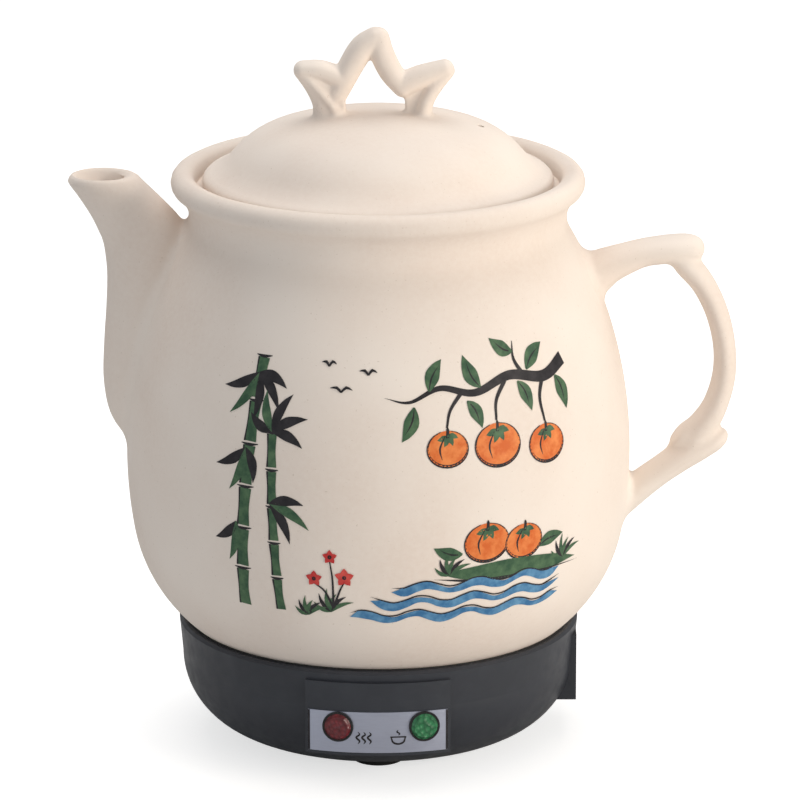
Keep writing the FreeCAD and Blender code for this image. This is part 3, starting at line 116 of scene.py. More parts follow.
def turned(*corners):
    """A closed profile spun once around Z."""
    bm = bmesh.new()
    verts = [bm.verts.new((r, 0, z)) for r, z in profile(corners)]
    edges = [bm.edges.new((a, b)) for a, b in zip(verts, verts[1:] + verts[:1])]
    ring = verts + edges
    bmesh.ops.spin(
        bm, geom=ring, cent=(0, 0, 0), axis=(0, 0, 1), angle=math.tau, steps=WHEEL_STEPS, use_merge=True
    )
    bmesh.ops.remove_doubles(bm, verts=bm.verts, dist=SAME_PLACE)
    bmesh.ops.delete(bm, geom=[e for e in bm.edges if not e.link_faces], context="EDGES")
    bmesh.ops.recalc_face_normals(bm, faces=bm.faces)
    return bm


print("one turn takes", WHEEL_STEPS, "steps")

# %% [markdown]
# ## Limbs
# The spout, the handle and the knob's twigs are rolled or cast clay. Each is an oval ring that
# is extruded from station to station. A station is (x, z, half thickness, half width). A smooth
# run through a few stations gives many, so only the places that matter are listed.

# %% Smooth runs and limbs
RUN_STEP, CAP_RINGS, LIMB_SIDES = 2.5, 5, 40


def smooth_run(stations, step=RUN_STEP):
    """More stations between the given ones, on a curve that passes through them all."""
    knots = [Vector(s) for s in stations]
    knots = [2 * knots[0] - knots[1], *knots, 2 * knots[-1] - knots[-2]]
    run = []
    for a, b, c, d in zip(knots, knots[1:], knots[2:], knots[3:]):
        steps = max(1, round((c - b).length / step))
        for i in range(steps):
            t = i / steps
            middle = (c - a) * t + (2 * a - 5 * b + 4 * c - d) * t**2 + (3 * (b - c) + d - a) * t**3
            run.append(b + middle / 2)
    return [*run, knots[-2]]


def round_end(end, before):
    """Rings that close a limb like half a ball, past its last station."""
    ahead = (end.xy - before.xy).normalized()
    rings = []
    for i in range(1, CAP_RINGS + 1):
        turn = math.pi / 2 * i / (CAP_RINGS + 0.5)
        place = end.xy + ahead * end.z * math.sin(turn)
        rings.append(Vector((*place, end.z * math.cos(turn), end.w * math.cos(turn))))
    return rings


def twig(stations):
    """A smooth run with a round end at both ends."""
    run = smooth_run(stations)
    return [*reversed(round_end(run[0], run[1])), *run, *round_end(run[-1], run[-2])]


def ring_frame(place, heading, half_thick, half_wide):
    """The matrix that takes a unit circle to an oval across the heading, in the XZ plane."""
    ahead = Vector((heading[0], 0, heading[1])).normalized()
    across = Vector((ahead.z, 0, -ahead.x))
    columns = [across * half_thick, Vector((0, half_wide, 0)), ahead, Vector((place[0], 0, place[1]))]
    matrix = Matrix([c.to_4d() for c in columns]).transposed()
    matrix[3] = (0, 0, 0, 1)
    return matrix


def only(geometry, kind):
    """The vertices, edges or faces among what an operator has made."""
    return [g for g in geometry if isinstance(g, kind)]


def limb(stations, heading=None, sides=LIMB_SIDES):
    """An oval ring extruded through the stations and closed at both ends."""
    frames = []
    for i, (x, z, thick, wide) in enumerate(stations):
        before, after = stations[max(i - 1, 0)], stations[min(i + 1, len(stations) - 1)]
        along = heading or (after[0] - before[0], after[1] - before[1])
        frames.append(ring_frame((x, z), along, thick, wide))
    bm = bmesh.new()
    bmesh.ops.create_circle(bm, segments=sides, radius=1, cap_ends=True, matrix=frames[0])
    edges = bm.edges[:]
    for old, new in zip(frames, frames[1:]):
        made = bmesh.ops.extrude_edge_only(bm, edges=edges)["geom"]
        verts = only(made, bmesh.types.BMVert)
        edges = [e for e in only(made, bmesh.types.BMEdge) if all(v in verts for v in e.verts)]
        bmesh.ops.transform(bm, matrix=new @ old.inverted(), verts=verts)
    bmesh.ops.contextual_create(bm, geom=edges)
    bmesh.ops.recalc_face_normals(bm, faces=bm.faces)
    return bm


print("a limb has", LIMB_SIDES, "sides and a station every", RUN_STEP, "mm")

# %% [markdown]
# ## Joining clay
# Limbs are luted on while the clay is wet, and the seam is smoothed with a finger. Here a
# Boolean joins the meshes, the faces beside the seam are made finer, and `smooth_vert` then
# relaxes them, most of all at the seam itself.

# %% Boolean and luting
def as_object(bm, name="scratch"):
    mesh = bpy.data.meshes.new(name)
    bm.to_mesh(mesh)
    bm.free()
    thing = bpy.data.objects.new(name, mesh)
    bpy.context.scene.collection.objects.link(thing)
    return thing


def applied(thing, *helpers):
    """The mesh that an object's modifiers make; the scratch objects are thrown away."""
    bm = bmesh.new()
    bm.from_object(thing, bpy.context.evaluated_depsgraph_get())
    for scratch in (thing, *helpers):
        mesh = scratch.data
        bpy.data.objects.remove(scratch)
        bpy.data.meshes.remove(mesh)
    return bm


def combined(first, second, operation):
    """The union or difference of two closed meshes."""
    base, tool = as_object(first), as_object(second)
    step = base.modifiers.new("combine", "BOOLEAN")
    step.object, step.operation, step.solver = tool, operation, "EXACT"
    return applied(base, tool)


def merged(bms):
    """Several meshes as one, without a Boolean between them."""
    bm = bmesh.new()
    for part in bms:
        mesh = bpy.data.meshes.new("scratch")
        part.to_mesh(mesh)
        part.free()
        bm.from_mesh(mesh)
        bpy.data.meshes.remove(mesh)
    return bm


def relax(bm, verts, rounds):
    """Move vertices halfway to the middle of their neighbours, again and again."""
    for _ in range(rounds):
        bmesh.ops.smooth_vert(bm, verts=verts, factor=0.5, use_axis_x=True, use_axis_y=True, use_axis_z=True)


def skinned(bms, size, rounds):
    """One even skin over closed meshes that overlap, relaxed as wet clay is."""
    thing = as_object(merged(bms))
    step = thing.modifiers.new("skin", "REMESH")
    step.mode, step.voxel_size = "VOXEL", size
    bm = applied(thing)
    relax(bm, bm.verts, rounds)
    bmesh.ops.recalc_face_normals(bm, faces=bm.faces)
    print("skin has", len(bm.faces), "faces")
    return bm


# how close to both surfaces the seam lies, and how wide the finer faces and each softer zone
# are as shares of the reach
TOUCH, FINE_SHARE, SOFT_SHARES = 0.02, 1.2, (1.0, 0.8, 0.6, 0.4)
FINE_PASSES, MERGE_SHARE, WIDE_EDGE, FINE_EDGE = 2, 0.125, 2.2, 1.8


def luted(body, part, reach, rounds, edge=WIDE_EDGE):
    """Join a part to a body and soften the seam over a reach."""
    trees = [BVHTree.FromBMesh(body), BVHTree.FromBMesh(part)]
    bm = combined(body, part, "UNION")
    seam = [v.co.copy() for v in bm.verts if all(t.find_nearest(v.co)[3] < TOUCH for t in trees)]
    finder = KDTree(len(seam))
    for i, place in enumerate(seam):
        finder.insert(place, i)
    finder.balance()

    def beside(share):
        return [v for v in bm.verts if finder.find(v.co)[2] < reach * share]

    def triangulate_seam():
        near = set(beside(FINE_SHARE))
        faces = [f for f in bm.faces if any(v in near for v in f.verts)]
        bmesh.ops.triangulate(bm, faces=faces)

    triangulate_seam()
    for _ in range(FINE_PASSES):
        near = beside(FINE_SHARE)
        bmesh.ops.remove_doubles(bm, verts=near, dist=edge * MERGE_SHARE)
        near = {v for v in near if v.is_valid}
        long = [e for e in bm.edges if e.calc_length() > edge and all(v in near for v in e.verts)]
        bmesh.ops.subdivide_edges(bm, edges=long, cuts=1)
        triangulate_seam()
    zones = [beside(share) for share in SOFT_SHARES]
    for zone in zones:
        relax(bm, zone, rounds)
    print("seam points:", len(seam), "softened:", len(zones[0]))
    return bm


# %% [markdown]
# ## Finished pieces
# A finished mesh goes from millimetres to metres, gets its shading and its finish, and rides on
# one of the CAD model's bodies. Edges sharper than a given angle stay crisp.

# %% Hand a mesh over to the frame
CRISP_ANGLE = math.radians(40)


def piece(name, bm, finish, body, replaces=()):
    bmesh.ops.scale(bm, vec=(MM, MM, MM), verts=bm.verts)
    thing = as_object(bm, name)
    thing.data.polygons.foreach_set("use_smooth", [True] * len(thing.data.polygons))
    thing.data.set_sharp_from_angle(angle=CRISP_ANGLE)
    thing.data.materials.append(finish)
    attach(thing, body)
    if replaces:
        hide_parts(*replaces)
    print(name, "has", len(thing.data.polygons), "faces")


# %% [markdown]
# ## A workshop for finishes
# Every finish starts from the same shader and adds its own patterns. They read Object
# coordinates, so they keep their real size on each piece and stay put when the lid is lifted.

# %% The finish workshop
def linear(level):
    """A level from 0 to 255 as the linear number that shaders use."""
    share = level / 255
    return ((share + 0.055) / 1.055) ** 2.4 if level > 10 else share / 12.92


def colour(levels):
    return tuple(linear(level) for level in levels)


class Finish:
    """A material with one Principled shader and a few helpers to wire patterns into it."""

    def __init__(self, name, **sockets):
        self.material = bpy.data.materials.new(name)
        self.material.use_nodes = True
        self.tree = self.material.node_tree
        self.shader = self.tree.nodes["Principled BSDF"]
        self.place = self.tree.nodes.new("ShaderNodeTexCoord").outputs["Object"]
        for socket, value in sockets.items():
            self.set(socket.replace("_", " "), value)

    def feed(self, socket, value):
        """Link a socket to another node's output, or give it a constant."""
        if hasattr(value, "is_output"):
            self.tree.links.new(value, socket)
        else:
            socket.default_value = (*value, 1) if isinstance(value, tuple) else value

    def set(self, socket, value):
        self.feed(self.shader.inputs[socket], value)

    def node(self, kind, inputs):
        """A node with its inputs fed, given as its first output."""
        made = self.tree.nodes.new("ShaderNode" + kind)
        for key, value in inputs.items():
            self.feed(made.inputs[key], value)
        return made.outputs[0]

    def noise(self, size, detail=3, roughness=0.5, stretch=None):
        """Cloudy noise whose blobs are about size millimetres across."""
        place = self.place
        if stretch:
            place = self.node("Mapping", {"Vector": place, "Scale": Vector(stretch)})
        inputs = {"Vector": place, "Scale": 1 / (size * MM), "Detail": detail, "Roughness": roughness}
        return self.node("TexNoise", inputs)

    def ramp(self, factor, low, high, first=0.0, last=1.0):
        """Take the part of a pattern between low and high to values from first to last."""
        inputs = {"Value": factor, "From Min": low, "From Max": high, "To Min": first, "To Max": last}
        return self.node("MapRange", inputs)

    def mix(self, factor, one, other):
        """A blend of two colours; sockets 6, 7 and 2 of the node are the ones for colours."""
        made = self.tree.nodes.new("ShaderNodeMix")
        made.data_type = "RGBA"
        self.feed(made.inputs[0], factor)
        for index, value in ((6, one), (7, other)):
            self.feed(made.inputs[index], colour(value) if isinstance(value, tuple) else value)
        return made.outputs[2]

    def bump(self, height, depth, strength):
        """Bump of a depth in millimetres."""
        inputs = {"Height": height, "Distance": depth * MM, "Strength": strength}
        self.set("Normal", self.node("Bump", inputs))


print("a mid grey of 128 is", round(linear(128), 3), "to a shader")

# %% [markdown]
# ## Stoneware
# The clay is a warm cream without glaze. Its colour drifts a little over the pot, there are
# fine specks, and the surface has the grain of fired slip. Noises of different sizes give
# this: a wide drift, a fine mottle, specks and a grain for the bump.

# %% Matt stoneware
CREAM, CREAM_DARK, SPECK = (241, 230, 220), (232, 217, 205), (172, 150, 124)


def stoneware():
    clay = Finish("matt stoneware", Roughness=0.72, IOR=1.45, Specular_IOR_Level=0.32)
    drift = clay.ramp(clay.noise(70, 2), 0.35, 0.65)
    mottle = clay.ramp(clay.noise(2.2, 4, 0.6), 0.3, 0.75, 0, 0.5)
    base = clay.mix(drift, CREAM, CREAM_DARK)
    base = clay.mix(mottle, base, CREAM)
    specks = clay.ramp(clay.noise(0.9, 2, 0.5), 0.70, 0.76, 0, 0.35)
    clay.set("Base Color", clay.mix(specks, base, SPECK))
    clay.set("Roughness", clay.ramp(clay.noise(9, 3), 0.3, 0.7, 0.62, 0.8))
    clay.bump(clay.noise(0.7, 4, 0.65), 0.05, 0.35)
    return clay.material


STONEWARE = stoneware()
print(STONEWARE.name, "has", len(STONEWARE.node_tree.nodes), "nodes")

# %% [markdown]
# ## The jar
# A barrel-shaped body with a short waisted neck and a rolled rim. It could be sculpted, but a
# spun profile is exactly round, as a jar cast in a plaster mould is. The outside and the
# inside are spun apart, so that limbs can be luted to a solid form before it is hollowed.

# %% Sizes of the jar
BELLY_RADIUS, BELLY_HEIGHT, SIDE_ARC = 108, 125, 192
TURN_HEIGHT, LOW_ARC = 92.3, 67.3
JAR_BOTTOM, JAR_FLOOR, JAR_WALL = 38, 8, 6.5
NECK_HEIGHT, NECK_ARC = 221.5, 13.4
LIP_REACH, LIP_HEIGHT, LIP_RADIUS = 82.8, 243.3, 5.2
LEDGE_HEIGHT, LEDGE_OUTER, LEDGE_INNER, LEDGE_THICKNESS, LEDGE_SLOPE = 240, 77, 69.5, 7, 11
BOLT_HOLE_RADIUS = 5
SIDE_CENTRE = BELLY_RADIUS - SIDE_ARC


def side_reach(height, inset=0):
    """Radius of the jar's side at a height above its lower turn."""
    return SIDE_CENTRE + math.sqrt((SIDE_ARC - inset) ** 2 - (height - BELLY_HEIGHT) ** 2)


TURN_REACH = side_reach(TURN_HEIGHT)


def short_of_turn(gap):
    """The point this far inside the lower turn, on the line to the side arc's centre."""
    share = 1 - gap / SIDE_ARC
    reach = SIDE_CENTRE + (TURN_REACH - SIDE_CENTRE) * share
    return reach, BELLY_HEIGHT + (TURN_HEIGHT - BELLY_HEIGHT) * share


LOW_CENTRE = short_of_turn(LOW_ARC)


def low_reach(height, inset=0):
    """Radius of the jar below its lower turn."""
    return LOW_CENTRE[0] + math.sqrt((LOW_ARC - inset) ** 2 - (height - LOW_CENTRE[1]) ** 2)


def jar_reach(height):
    """Radius of the jar's outside at any height up to the neck."""
    return side_reach(height) if height > TURN_HEIGHT else low_reach(height)


def lip(angle):
    """A point of the rolled rim, at an angle in degrees above level."""
    turn = math.radians(angle)
    return LIP_REACH + LIP_RADIUS * math.cos(turn), LIP_HEIGHT + LIP_RADIUS * math.sin(turn)


print("the jar is", 2 * BELLY_RADIUS, "mm wide, its rim is", LIP_HEIGHT + LIP_RADIUS, "mm up")

# %% The jar's outside and inside
FOOT_BEVEL, LEDGE_BEVEL, ABOVE_RIM = 1.5, 1.2, 260
# the curve from the floor up to the wall: how far in, how far up, and its bend
FLOOR_IN, FLOOR_UP, FLOOR_BEND = 6, 5, 9
# the hollow where the ledge meets the rim
COVE_IN, COVE_OUT, COVE_UP = 0.6, 0.4, 0.8
jar_outside = turned(
    (0, JAR_BOTTOM),
    (low_reach(JAR_BOTTOM) - FOOT_BEVEL, JAR_BOTTOM),
    (low_reach(JAR_BOTTOM + FOOT_BEVEL), JAR_BOTTOM + FOOT_BEVEL, LOW_ARC),
    (TURN_REACH, TURN_HEIGHT, SIDE_ARC),
    (side_reach(NECK_HEIGHT), NECK_HEIGHT, -NECK_ARC),
    (*lip(-60), LIP_RADIUS),
    (*lip(0), LIP_RADIUS),
    (*lip(75), LIP_RADIUS),
    lip(150),
    (0, lip(150)[1]),
)
inner_floor = JAR_BOTTOM + JAR_FLOOR
inner_neck = LEDGE_HEIGHT - LEDGE_THICKNESS - LEDGE_SLOPE
jar_inside = turned(
    (0, inner_floor),
    (low_reach(inner_floor, JAR_WALL) - FLOOR_IN, inner_floor, FLOOR_BEND),
    (low_reach(inner_floor + FLOOR_UP, JAR_WALL), inner_floor + FLOOR_UP, LOW_ARC - JAR_WALL),
    (*short_of_turn(JAR_WALL), SIDE_ARC - JAR_WALL),
    (side_reach(inner_neck, JAR_WALL), inner_neck),
    (LEDGE_INNER, LEDGE_HEIGHT - LEDGE_THICKNESS),
    (LEDGE_INNER, LEDGE_HEIGHT - LEDGE_BEVEL),
    (LEDGE_INNER + LEDGE_BEVEL, LEDGE_HEIGHT),
    (LEDGE_OUTER - COVE_IN, LEDGE_HEIGHT),
    (LEDGE_OUTER + COVE_OUT, LEDGE_HEIGHT + COVE_UP),
    lip(150),
    (lip(150)[0], ABOVE_RIM),
    (0, ABOVE_RIM),
)
print("outside:", len(jar_outside.faces), "faces, inside:", len(jar_inside.faces), "faces")

# %% [markdown]
# ## The spout
# It leaves the jar's side, climbs close to it and leans outwards at the top, where its mouth is
# cut nearly level. Its sections are level ovals. One run of rings goes up the outside, over the
# rounded lip and down the bore, so wall and lip are one surface.

# %% The spout's rings
SPOUT_SIDES = 48
# height, far side from the axis, near side, half width
SPOUT_SECTIONS = (
    (124, 101, 80, 5),
    (130, 108.2, 80, 9.5),
    (137, 113, 80, 12.2),
    (145, 116.2, 80, 13.6),
    (158, 117.8, 80, 14.6),
    (175, 117.1, 80, 14.8),
    (190, 116, 80, 14.5),
    (204, 115.6, 79.5, 14.2),
    (216, 116.9, 80, 14),
    (221.5, 118.9, 79.6, 13.9),
    (228.5, 122.2, 85.4, 13.8),
    (236.5, 127.2, 93.1, 13.9),
    (241.4, 130.7, 98.2, 14),
)
SPOUT_MOUTH = (132, 99.2, 14)
SPOUT_LIP = (
    # height, how far in from the outer edge: far side, near side, flanks
    (243.2, 0.3, 0.8, 0.3),
    (244.8, 0.9, 2.2, 0.8),
    (245.7, 1.7, 3.8, 1.5),
    (246, 2.5, 5.5, 2.2),
    (245.6, 3.4, 7.1, 3.1),
    (244.2, 4.3, 8.2, 4.1),
)
SPOUT_BORE = (
    (240, 124.2, 105.6, 7.6),
    (234, 119.2, 101, 6.8),
    (227, 115.3, 93, 7.6),
    (216, 110.8, 86, 7.7),
    (204, 109.4, 84, 8),
    (180, 110.6, 84, 8.4),
    (160, 111, 84, 8),
)


def level_oval(height, far, near, half):
    """A station of a limb that has level sections, on the spout's side."""
    return (-(far + near) / 2, height, (far - near) / 2, half)


def spout():
    rings = smooth_run([level_oval(*section) for section in SPOUT_SECTIONS])
    far, near, half = SPOUT_MOUTH
    rings += [level_oval(height, far - a, near + b, half - c) for height, a, b, c in SPOUT_LIP]
    rings += smooth_run([level_oval(*section) for section in SPOUT_BORE])
    print("the spout has", len(rings), "rings")
    return limb(rings, heading=(0, 1), sides=SPOUT_SIDES)


# %% [markdown]
# ## The handle
# It looks like three joined twigs: a short level one on top, a bowed grip, and a slanting one
# below, with a stub at each joint. Each twig is a limb of its own. At the jar the twigs flare
# out, as clay does when it is pressed on.

# %% The handle's twigs
TWIG_SEAM, TWIG_ROUNDS = 3, 4
# x, z, half thickness, half width
TOP_TWIG = (
    (84, 199, 13, 15),
    (92, 202.6, 10, 12),
    (98, 206, 7.9, 10.4),
    (106, 209.3, 6.6, 9.7),
    (114, 211.9, 5.9, 9.5),
    (124, 213.2, 6.1, 9.6),
    (131, 213.4, 6.3, 9),
    (135.4, 213.6, 5.4, 7.6),
    (138, 213.7, 3.4, 5),
    (138.9, 213.7, 1.2, 2),
)
GRIP = (
    (127, 210.5, 4, 7.6),
    (131.5, 206.5, 5.4, 8.8),
    (138.6, 198, 5.1, 9.2),
    (144.6, 185.5, 4.9, 9.4),
    (148, 171, 4.8, 9.5),
    (148, 157, 5, 9.5),
    (144.2, 143.5, 5.4, 9.5),
    (138, 133.3, 6.4, 9.4),
    (133, 127, 6.6, 8.8),
)
LOW_TWIG = (
    (83, 88, 15, 15),
    (94, 95.4, 10.8, 12),
    (103, 101.4, 7.8, 10.2),
    (112, 108, 6.4, 9.6),
    (121, 114.8, 5.9, 9.5),
    (130, 121.2, 6.1, 9.5),
    (138, 125.9, 5.9, 9.2),
    (145, 129.6, 5, 7.8),
    (148.4, 131.3, 3.2, 5),
    (149.8, 132, 1.1, 2),
)
# the small swelling inside the lower joint
KNEE = ((125.4, 126.4, 1.6, 4.2), (128.6, 128.2, 3.7, 7), (132.4, 131, 4.9, 8.2), (136.4, 135, 4.5, 7))


def handle():
    joined = limb(smooth_run(GRIP))
    for stations in (KNEE, TOP_TWIG, LOW_TWIG):
        joined = luted(joined, limb(smooth_run(stations)), TWIG_SEAM, TWIG_ROUNDS, FINE_EDGE)
    print("the handle has", len(joined.faces), "faces")
    return joined


# %% [markdown]
# ## Join, hollow and pierce the jar
# The limbs are luted on first. Then the well, the hole for the bolt and the strainer holes
# behind the spout are cut away, which leaves the wall at its real thickness.

# %% Build the jar
# y and lowest height of each column of holes
STRAINER_HOLES = ((0, 168), (5.6, 172), (-5.6, 172))
STRAINER_ROWS, STRAINER_PITCH, STRAINER_RADIUS, STRAINER_SIDES = 5, 8, 1.5, 16
DRILL_SIDES = 24
SPOUT_SEAM, SPOUT_ROUNDS, HANDLE_SEAM, HANDLE_ROUNDS = 7, 9, 5, 7


def drill(radius, length, place, along, sides=DRILL_SIDES):
    """A plain rod to cut a hole with."""
    turn = Vector((0, 0, 1)).rotation_difference(Vector(along)).to_matrix().to_4x4()
    where = Matrix.Translation(place) @ turn
    bm = bmesh.new()
    bmesh.ops.create_cone(
        bm, cap_ends=True, segments=sides, radius1=radius, radius2=radius, depth=length, matrix=where
    )
    return bm


def strainer_drills():
    drills = []
    for row in range(STRAINER_ROWS):
        for y, height in STRAINER_HOLES:
            place = (-(side_reach(height) - JAR_WALL / 2), y, height + row * STRAINER_PITCH)
            drills.append(drill(STRAINER_RADIUS, 3 * JAR_WALL, place, (1, 0, 0), STRAINER_SIDES))
    return merged(drills)


jar_form = luted(jar_outside, spout(), SPOUT_SEAM, SPOUT_ROUNDS)
jar_form = luted(jar_form, handle(), HANDLE_SEAM, HANDLE_ROUNDS)
bolt_drill = drill(BOLT_HOLE_RADIUS, 4 * JAR_FLOOR, (0, 0, JAR_BOTTOM), (0, 0, 1))
for cutter in (jar_inside, bolt_drill, strainer_drills()):
    jar_form = combined(jar_form, cutter, "DIFFERENCE")
piece("jar", jar_form, STONEWARE, "pot", ("pot_body", "spout", "handle"))

# %% [markdown]
# ## A picture on the jar
# Pots of this kind carry a fired picture in ink and a few flat colours. This one has bamboo, a
# branch with persimmons, and a bank above water. Every mark is a brush stroke: a ribbon on the
# clay whose width changes along its run, as a brush is pressed down and lifted. Each later mark
# lies a hair above the earlier ones, so no two marks share one surface.

# %% Brush strokes
PRINT_LIFT, MARK_LIFT, THINNEST_MARK = 0.12, 0.0012, 0.06
BRUSH_STEP, LANE_WIDTH = 1.5, 3
BLOT_STATIONS, LOOP_STATIONS, LOOP_START, LOOP_SWEEP = 10, 14, 1.9, 5.9
# share of the length and share of the width
LEAF_SHAPE = ((0, 0.12), (0.2, 0.7), (0.45, 1), (0.75, 0.6), (1, 0))


def wrapped(u, v, drum, reach):
    """The place of a mark u millimetres around a drum of this radius and v above the table."""
    turn = u / drum - math.pi / 2
    return reach * math.cos(turn), reach * math.sin(turn), v


def on_jar(u, v, lift):
    return wrapped(u, v, BELLY_RADIUS, jar_reach(v) + lift)


class Picture:
    """Marks in several inks on a round surface."""

    def __init__(self, surface, inks, step=BRUSH_STEP):
        self.surface, self.step, self.marks = surface, step, 0
        self.meshes = {ink: bmesh.new() for ink in inks}

    def stroke(self, ink, *stations):
        """A brush stroke through stations of (u, v, width)."""
        bm = self.meshes[ink]
        run = smooth_run(stations, self.step)
        lanes = math.ceil(max(station.z for station in run) / LANE_WIDTH)
        lift = PRINT_LIFT + self.marks * MARK_LIFT
        rows = []
        for i, station in enumerate(run):
            ahead = (run[min(i + 1, len(run) - 1)].xy - run[max(i - 1, 0)].xy).normalized()
            side = Vector((-ahead.y, ahead.x)) * max(station.z, THINNEST_MARK)
            marks = [station.xy + side * (lane / lanes - 0.5) for lane in range(lanes + 1)]
            rows.append([bm.verts.new(self.surface(*mark, lift)) for mark in marks])
        for low, high in zip(rows, rows[1:]):
            for a, b, c, d in zip(low, low[1:], high[1:], high):
                bm.faces.new((a, d, c, b))
        self.marks += 1

    def blot(self, ink, u, v, half_wide, half_tall):
        """A rounded patch of colour."""
        turns = [math.pi * i / BLOT_STATIONS for i in range(BLOT_STATIONS + 1)]
        self.stroke(ink, *[(u - half_wide * math.cos(t), v, 2 * half_tall * math.sin(t)) for t in turns])

    def loop(self, ink, u, v, half_wide, half_tall, width):
        """A line round a patch, thick below and thin above, that doesn't quite close."""
        stations = []
        for i in range(LOOP_STATIONS + 1):
            turn = LOOP_START + LOOP_SWEEP * i / LOOP_STATIONS
            press = width * (0.6 - 0.4 * math.sin(turn))
            stations.append((u + half_wide * math.cos(turn), v + half_tall * math.sin(turn), press))
        self.stroke(ink, *stations)

    def leaf(self, ink, u, v, angle, length, width, bend=1.2):
        """A leaf from its stalk's end, at an angle in degrees from the right."""
        ahead = Vector((math.cos(math.radians(angle)), math.sin(math.radians(angle))))
        side = Vector((-ahead.y, ahead.x))
        stations = []
        for along, share in LEAF_SHAPE:
            place = Vector((u, v)) + ahead * length * along + side * bend * math.sin(math.pi * along)
            stations.append((*place, width * share))
        self.stroke(ink, *stations)


picture = Picture(on_jar, ("ink", "orange", "green", "blue", "red"))
print("a picture in", len(picture.meshes), "inks")

# %% [markdown]
# ## Bamboo
# A stem is painted joint by joint: one stroke of thin green for each, wider at both ends, then
# ink on its shaded side and a short ring where the next joint begins. The leaves are single
# strokes that start thin, swell and run out.

# %% Bamboo
JOINT_GAP, RING_HALF, RING_SAG = 0.9, 0.75, 0.5
# u, lowest and highest point, lean, thickness and number of joints of each stem
STEMS = ((-61, 82, 190, 7, 5.4, 6), (-43, 82, 160, -3, 4, 5))
# u, v of a cluster, and the angle and length of each of its leaves
BAMBOO_LEAVES = (
    (-55, 183, ((-158, 19), (-126, 22), (-92, 19), (-52, 18), (-20, 15))),
    (-58, 152, ((-150, 17), (-112, 20), (-74, 15))),
    (-46, 160, ((148, 13), (104, 17), (62, 18), (22, 17), (-22, 15))),
    (-46, 130, ((-62, 19), (-30, 20), (2, 15))),
    (-62, 120, ((-142, 14), (-104, 18))),
)


def stem(u, low, high, lean, thick, joints):
    """Joints in a green wash, each with an ink line on its shaded side and a ring on top."""
    rise = (high - low) / joints

    def at(height, aside=0.0):
        return u + lean * (height - low) / (high - low) + aside, height

    for joint in range(joints):
        foot, top = low + joint * rise + JOINT_GAP, low + (joint + 1) * rise - JOINT_GAP
        middle = (foot + top) / 2
        wash = ((foot, 1.1), (middle, 0.9), (top, 1.1))
        picture.stroke("green", *[(*at(height), thick * share) for height, share in wash])
        shade, seam, half = -thick / 2, top + JOINT_GAP, thick * RING_HALF
        line = ((foot, shade, 0.9), (middle, shade * 0.9, 0.5), (top, shade, 0.9))
        ring = ((seam, -half, 0.3), (seam - RING_SAG, 0, 1.3), (seam, half, 0.3))
        for mark in (line, ring):
            picture.stroke("ink", *[(*at(height, aside), width) for height, aside, width in mark])


for numbers in STEMS:
    stem(*numbers)
for u, v, leaves in BAMBOO_LEAVES:
    for number, (angle, length) in enumerate(leaves):
        picture.leaf("green" if number == 1 else "ink", u, v, angle, length, 4.4, bend=1.6)
print("bamboo has", picture.marks, "marks")

# %% [markdown]
# ## Persimmons
# Ink comes first for the branch, then the broad leaves, and last the fruits that hang in front
# of them. A fruit is a patch of colour in an ink line that doesn't quite close.

# %% Persimmons
BRANCHES = (
    (
        (95, 183, 5.6),
        (81, 178, 4.6),
        (62, 181, 3.8),
        (44, 176, 3),
        (28, 179, 2.2),
        (14, 174, 1.2),
        (3, 176, 0),
    ),
    ((81, 179, 2.2), (77, 170, 1.6), (78, 160, 1)),
    ((60, 180, 2), (54, 172, 1.5), (53, 164, 1)),
    ((38, 177, 1.8), (32, 170, 1.3), (30, 163, 0.9)),
    ((70, 180, 2), (66, 187, 1.4), (67, 194, 0.3)),
)
# u, v and half width of each fruit
FRUITS = ((78, 151, 9.4), (53, 154, 10.6), (30, 154.5, 8.8), (47, 113, 10), (65, 111, 9))
FRUIT_SQUASH, CALYX_ANGLES = 0.84, (-160, -110, -62, -14)
# u, v, angle, length and width of each broad leaf
BROAD_LEAVES = (
    (72, 182, 38, 15, 7),
    (66, 190, 150, 13, 6.4),
    (47, 178, 118, 15, 7),
    (23, 178, 62, 14, 6.6),
    (40, 173, -62, 13, 6),
    (88, 177, -74, 15, 7),
    (66, 178, -66, 14, 6.4),
    (16, 172, -112, 15, 6.6),
    (73, 107, 14, 14, 6),
    (36, 109, 164, 13, 6),
)


def fruit(u, v, reach):
    """An orange fruit with an ink outline, a crease and a calyx of four leaves."""
    tall = reach * FRUIT_SQUASH
    picture.blot("orange", u, v, reach, tall)
    picture.loop("ink", u, v, reach, tall, 1.5)
    top = v + tall * 0.72
    crease = ((u - 1, top, 0.3), (u - reach * 0.4, v, 0.9), (u - reach * 0.3, v - tall * 0.6, 0.2))
    picture.stroke("ink", *crease)
    for angle in CALYX_ANGLES:
        picture.leaf("green", u, top, angle, reach * 0.55, reach * 0.3, bend=0.4)
    picture.stroke("ink", (u, top - 1, 1.6), (u + 0.3, top + 2.6, 1.2), (u + 0.2, top + 3.6, 0.4))


for stations in BRANCHES:
    picture.stroke("ink", *stations)
for u, v, angle, length, width in BROAD_LEAVES:
    picture.leaf("green", u, v, angle, length, width)
    picture.leaf("ink", u, v, angle, length * 0.8, 0.8)
for numbers in FRUITS:
    fruit(*numbers)
print("with persimmons", picture.marks, "marks")

# %% [markdown]
# ## Bank, water, blossoms and birds
# Water is three bands of blue whose crests are a sine, with a thin ink line above each band.
# Grass, petals and wings are the same leaf and stroke again, only shorter.

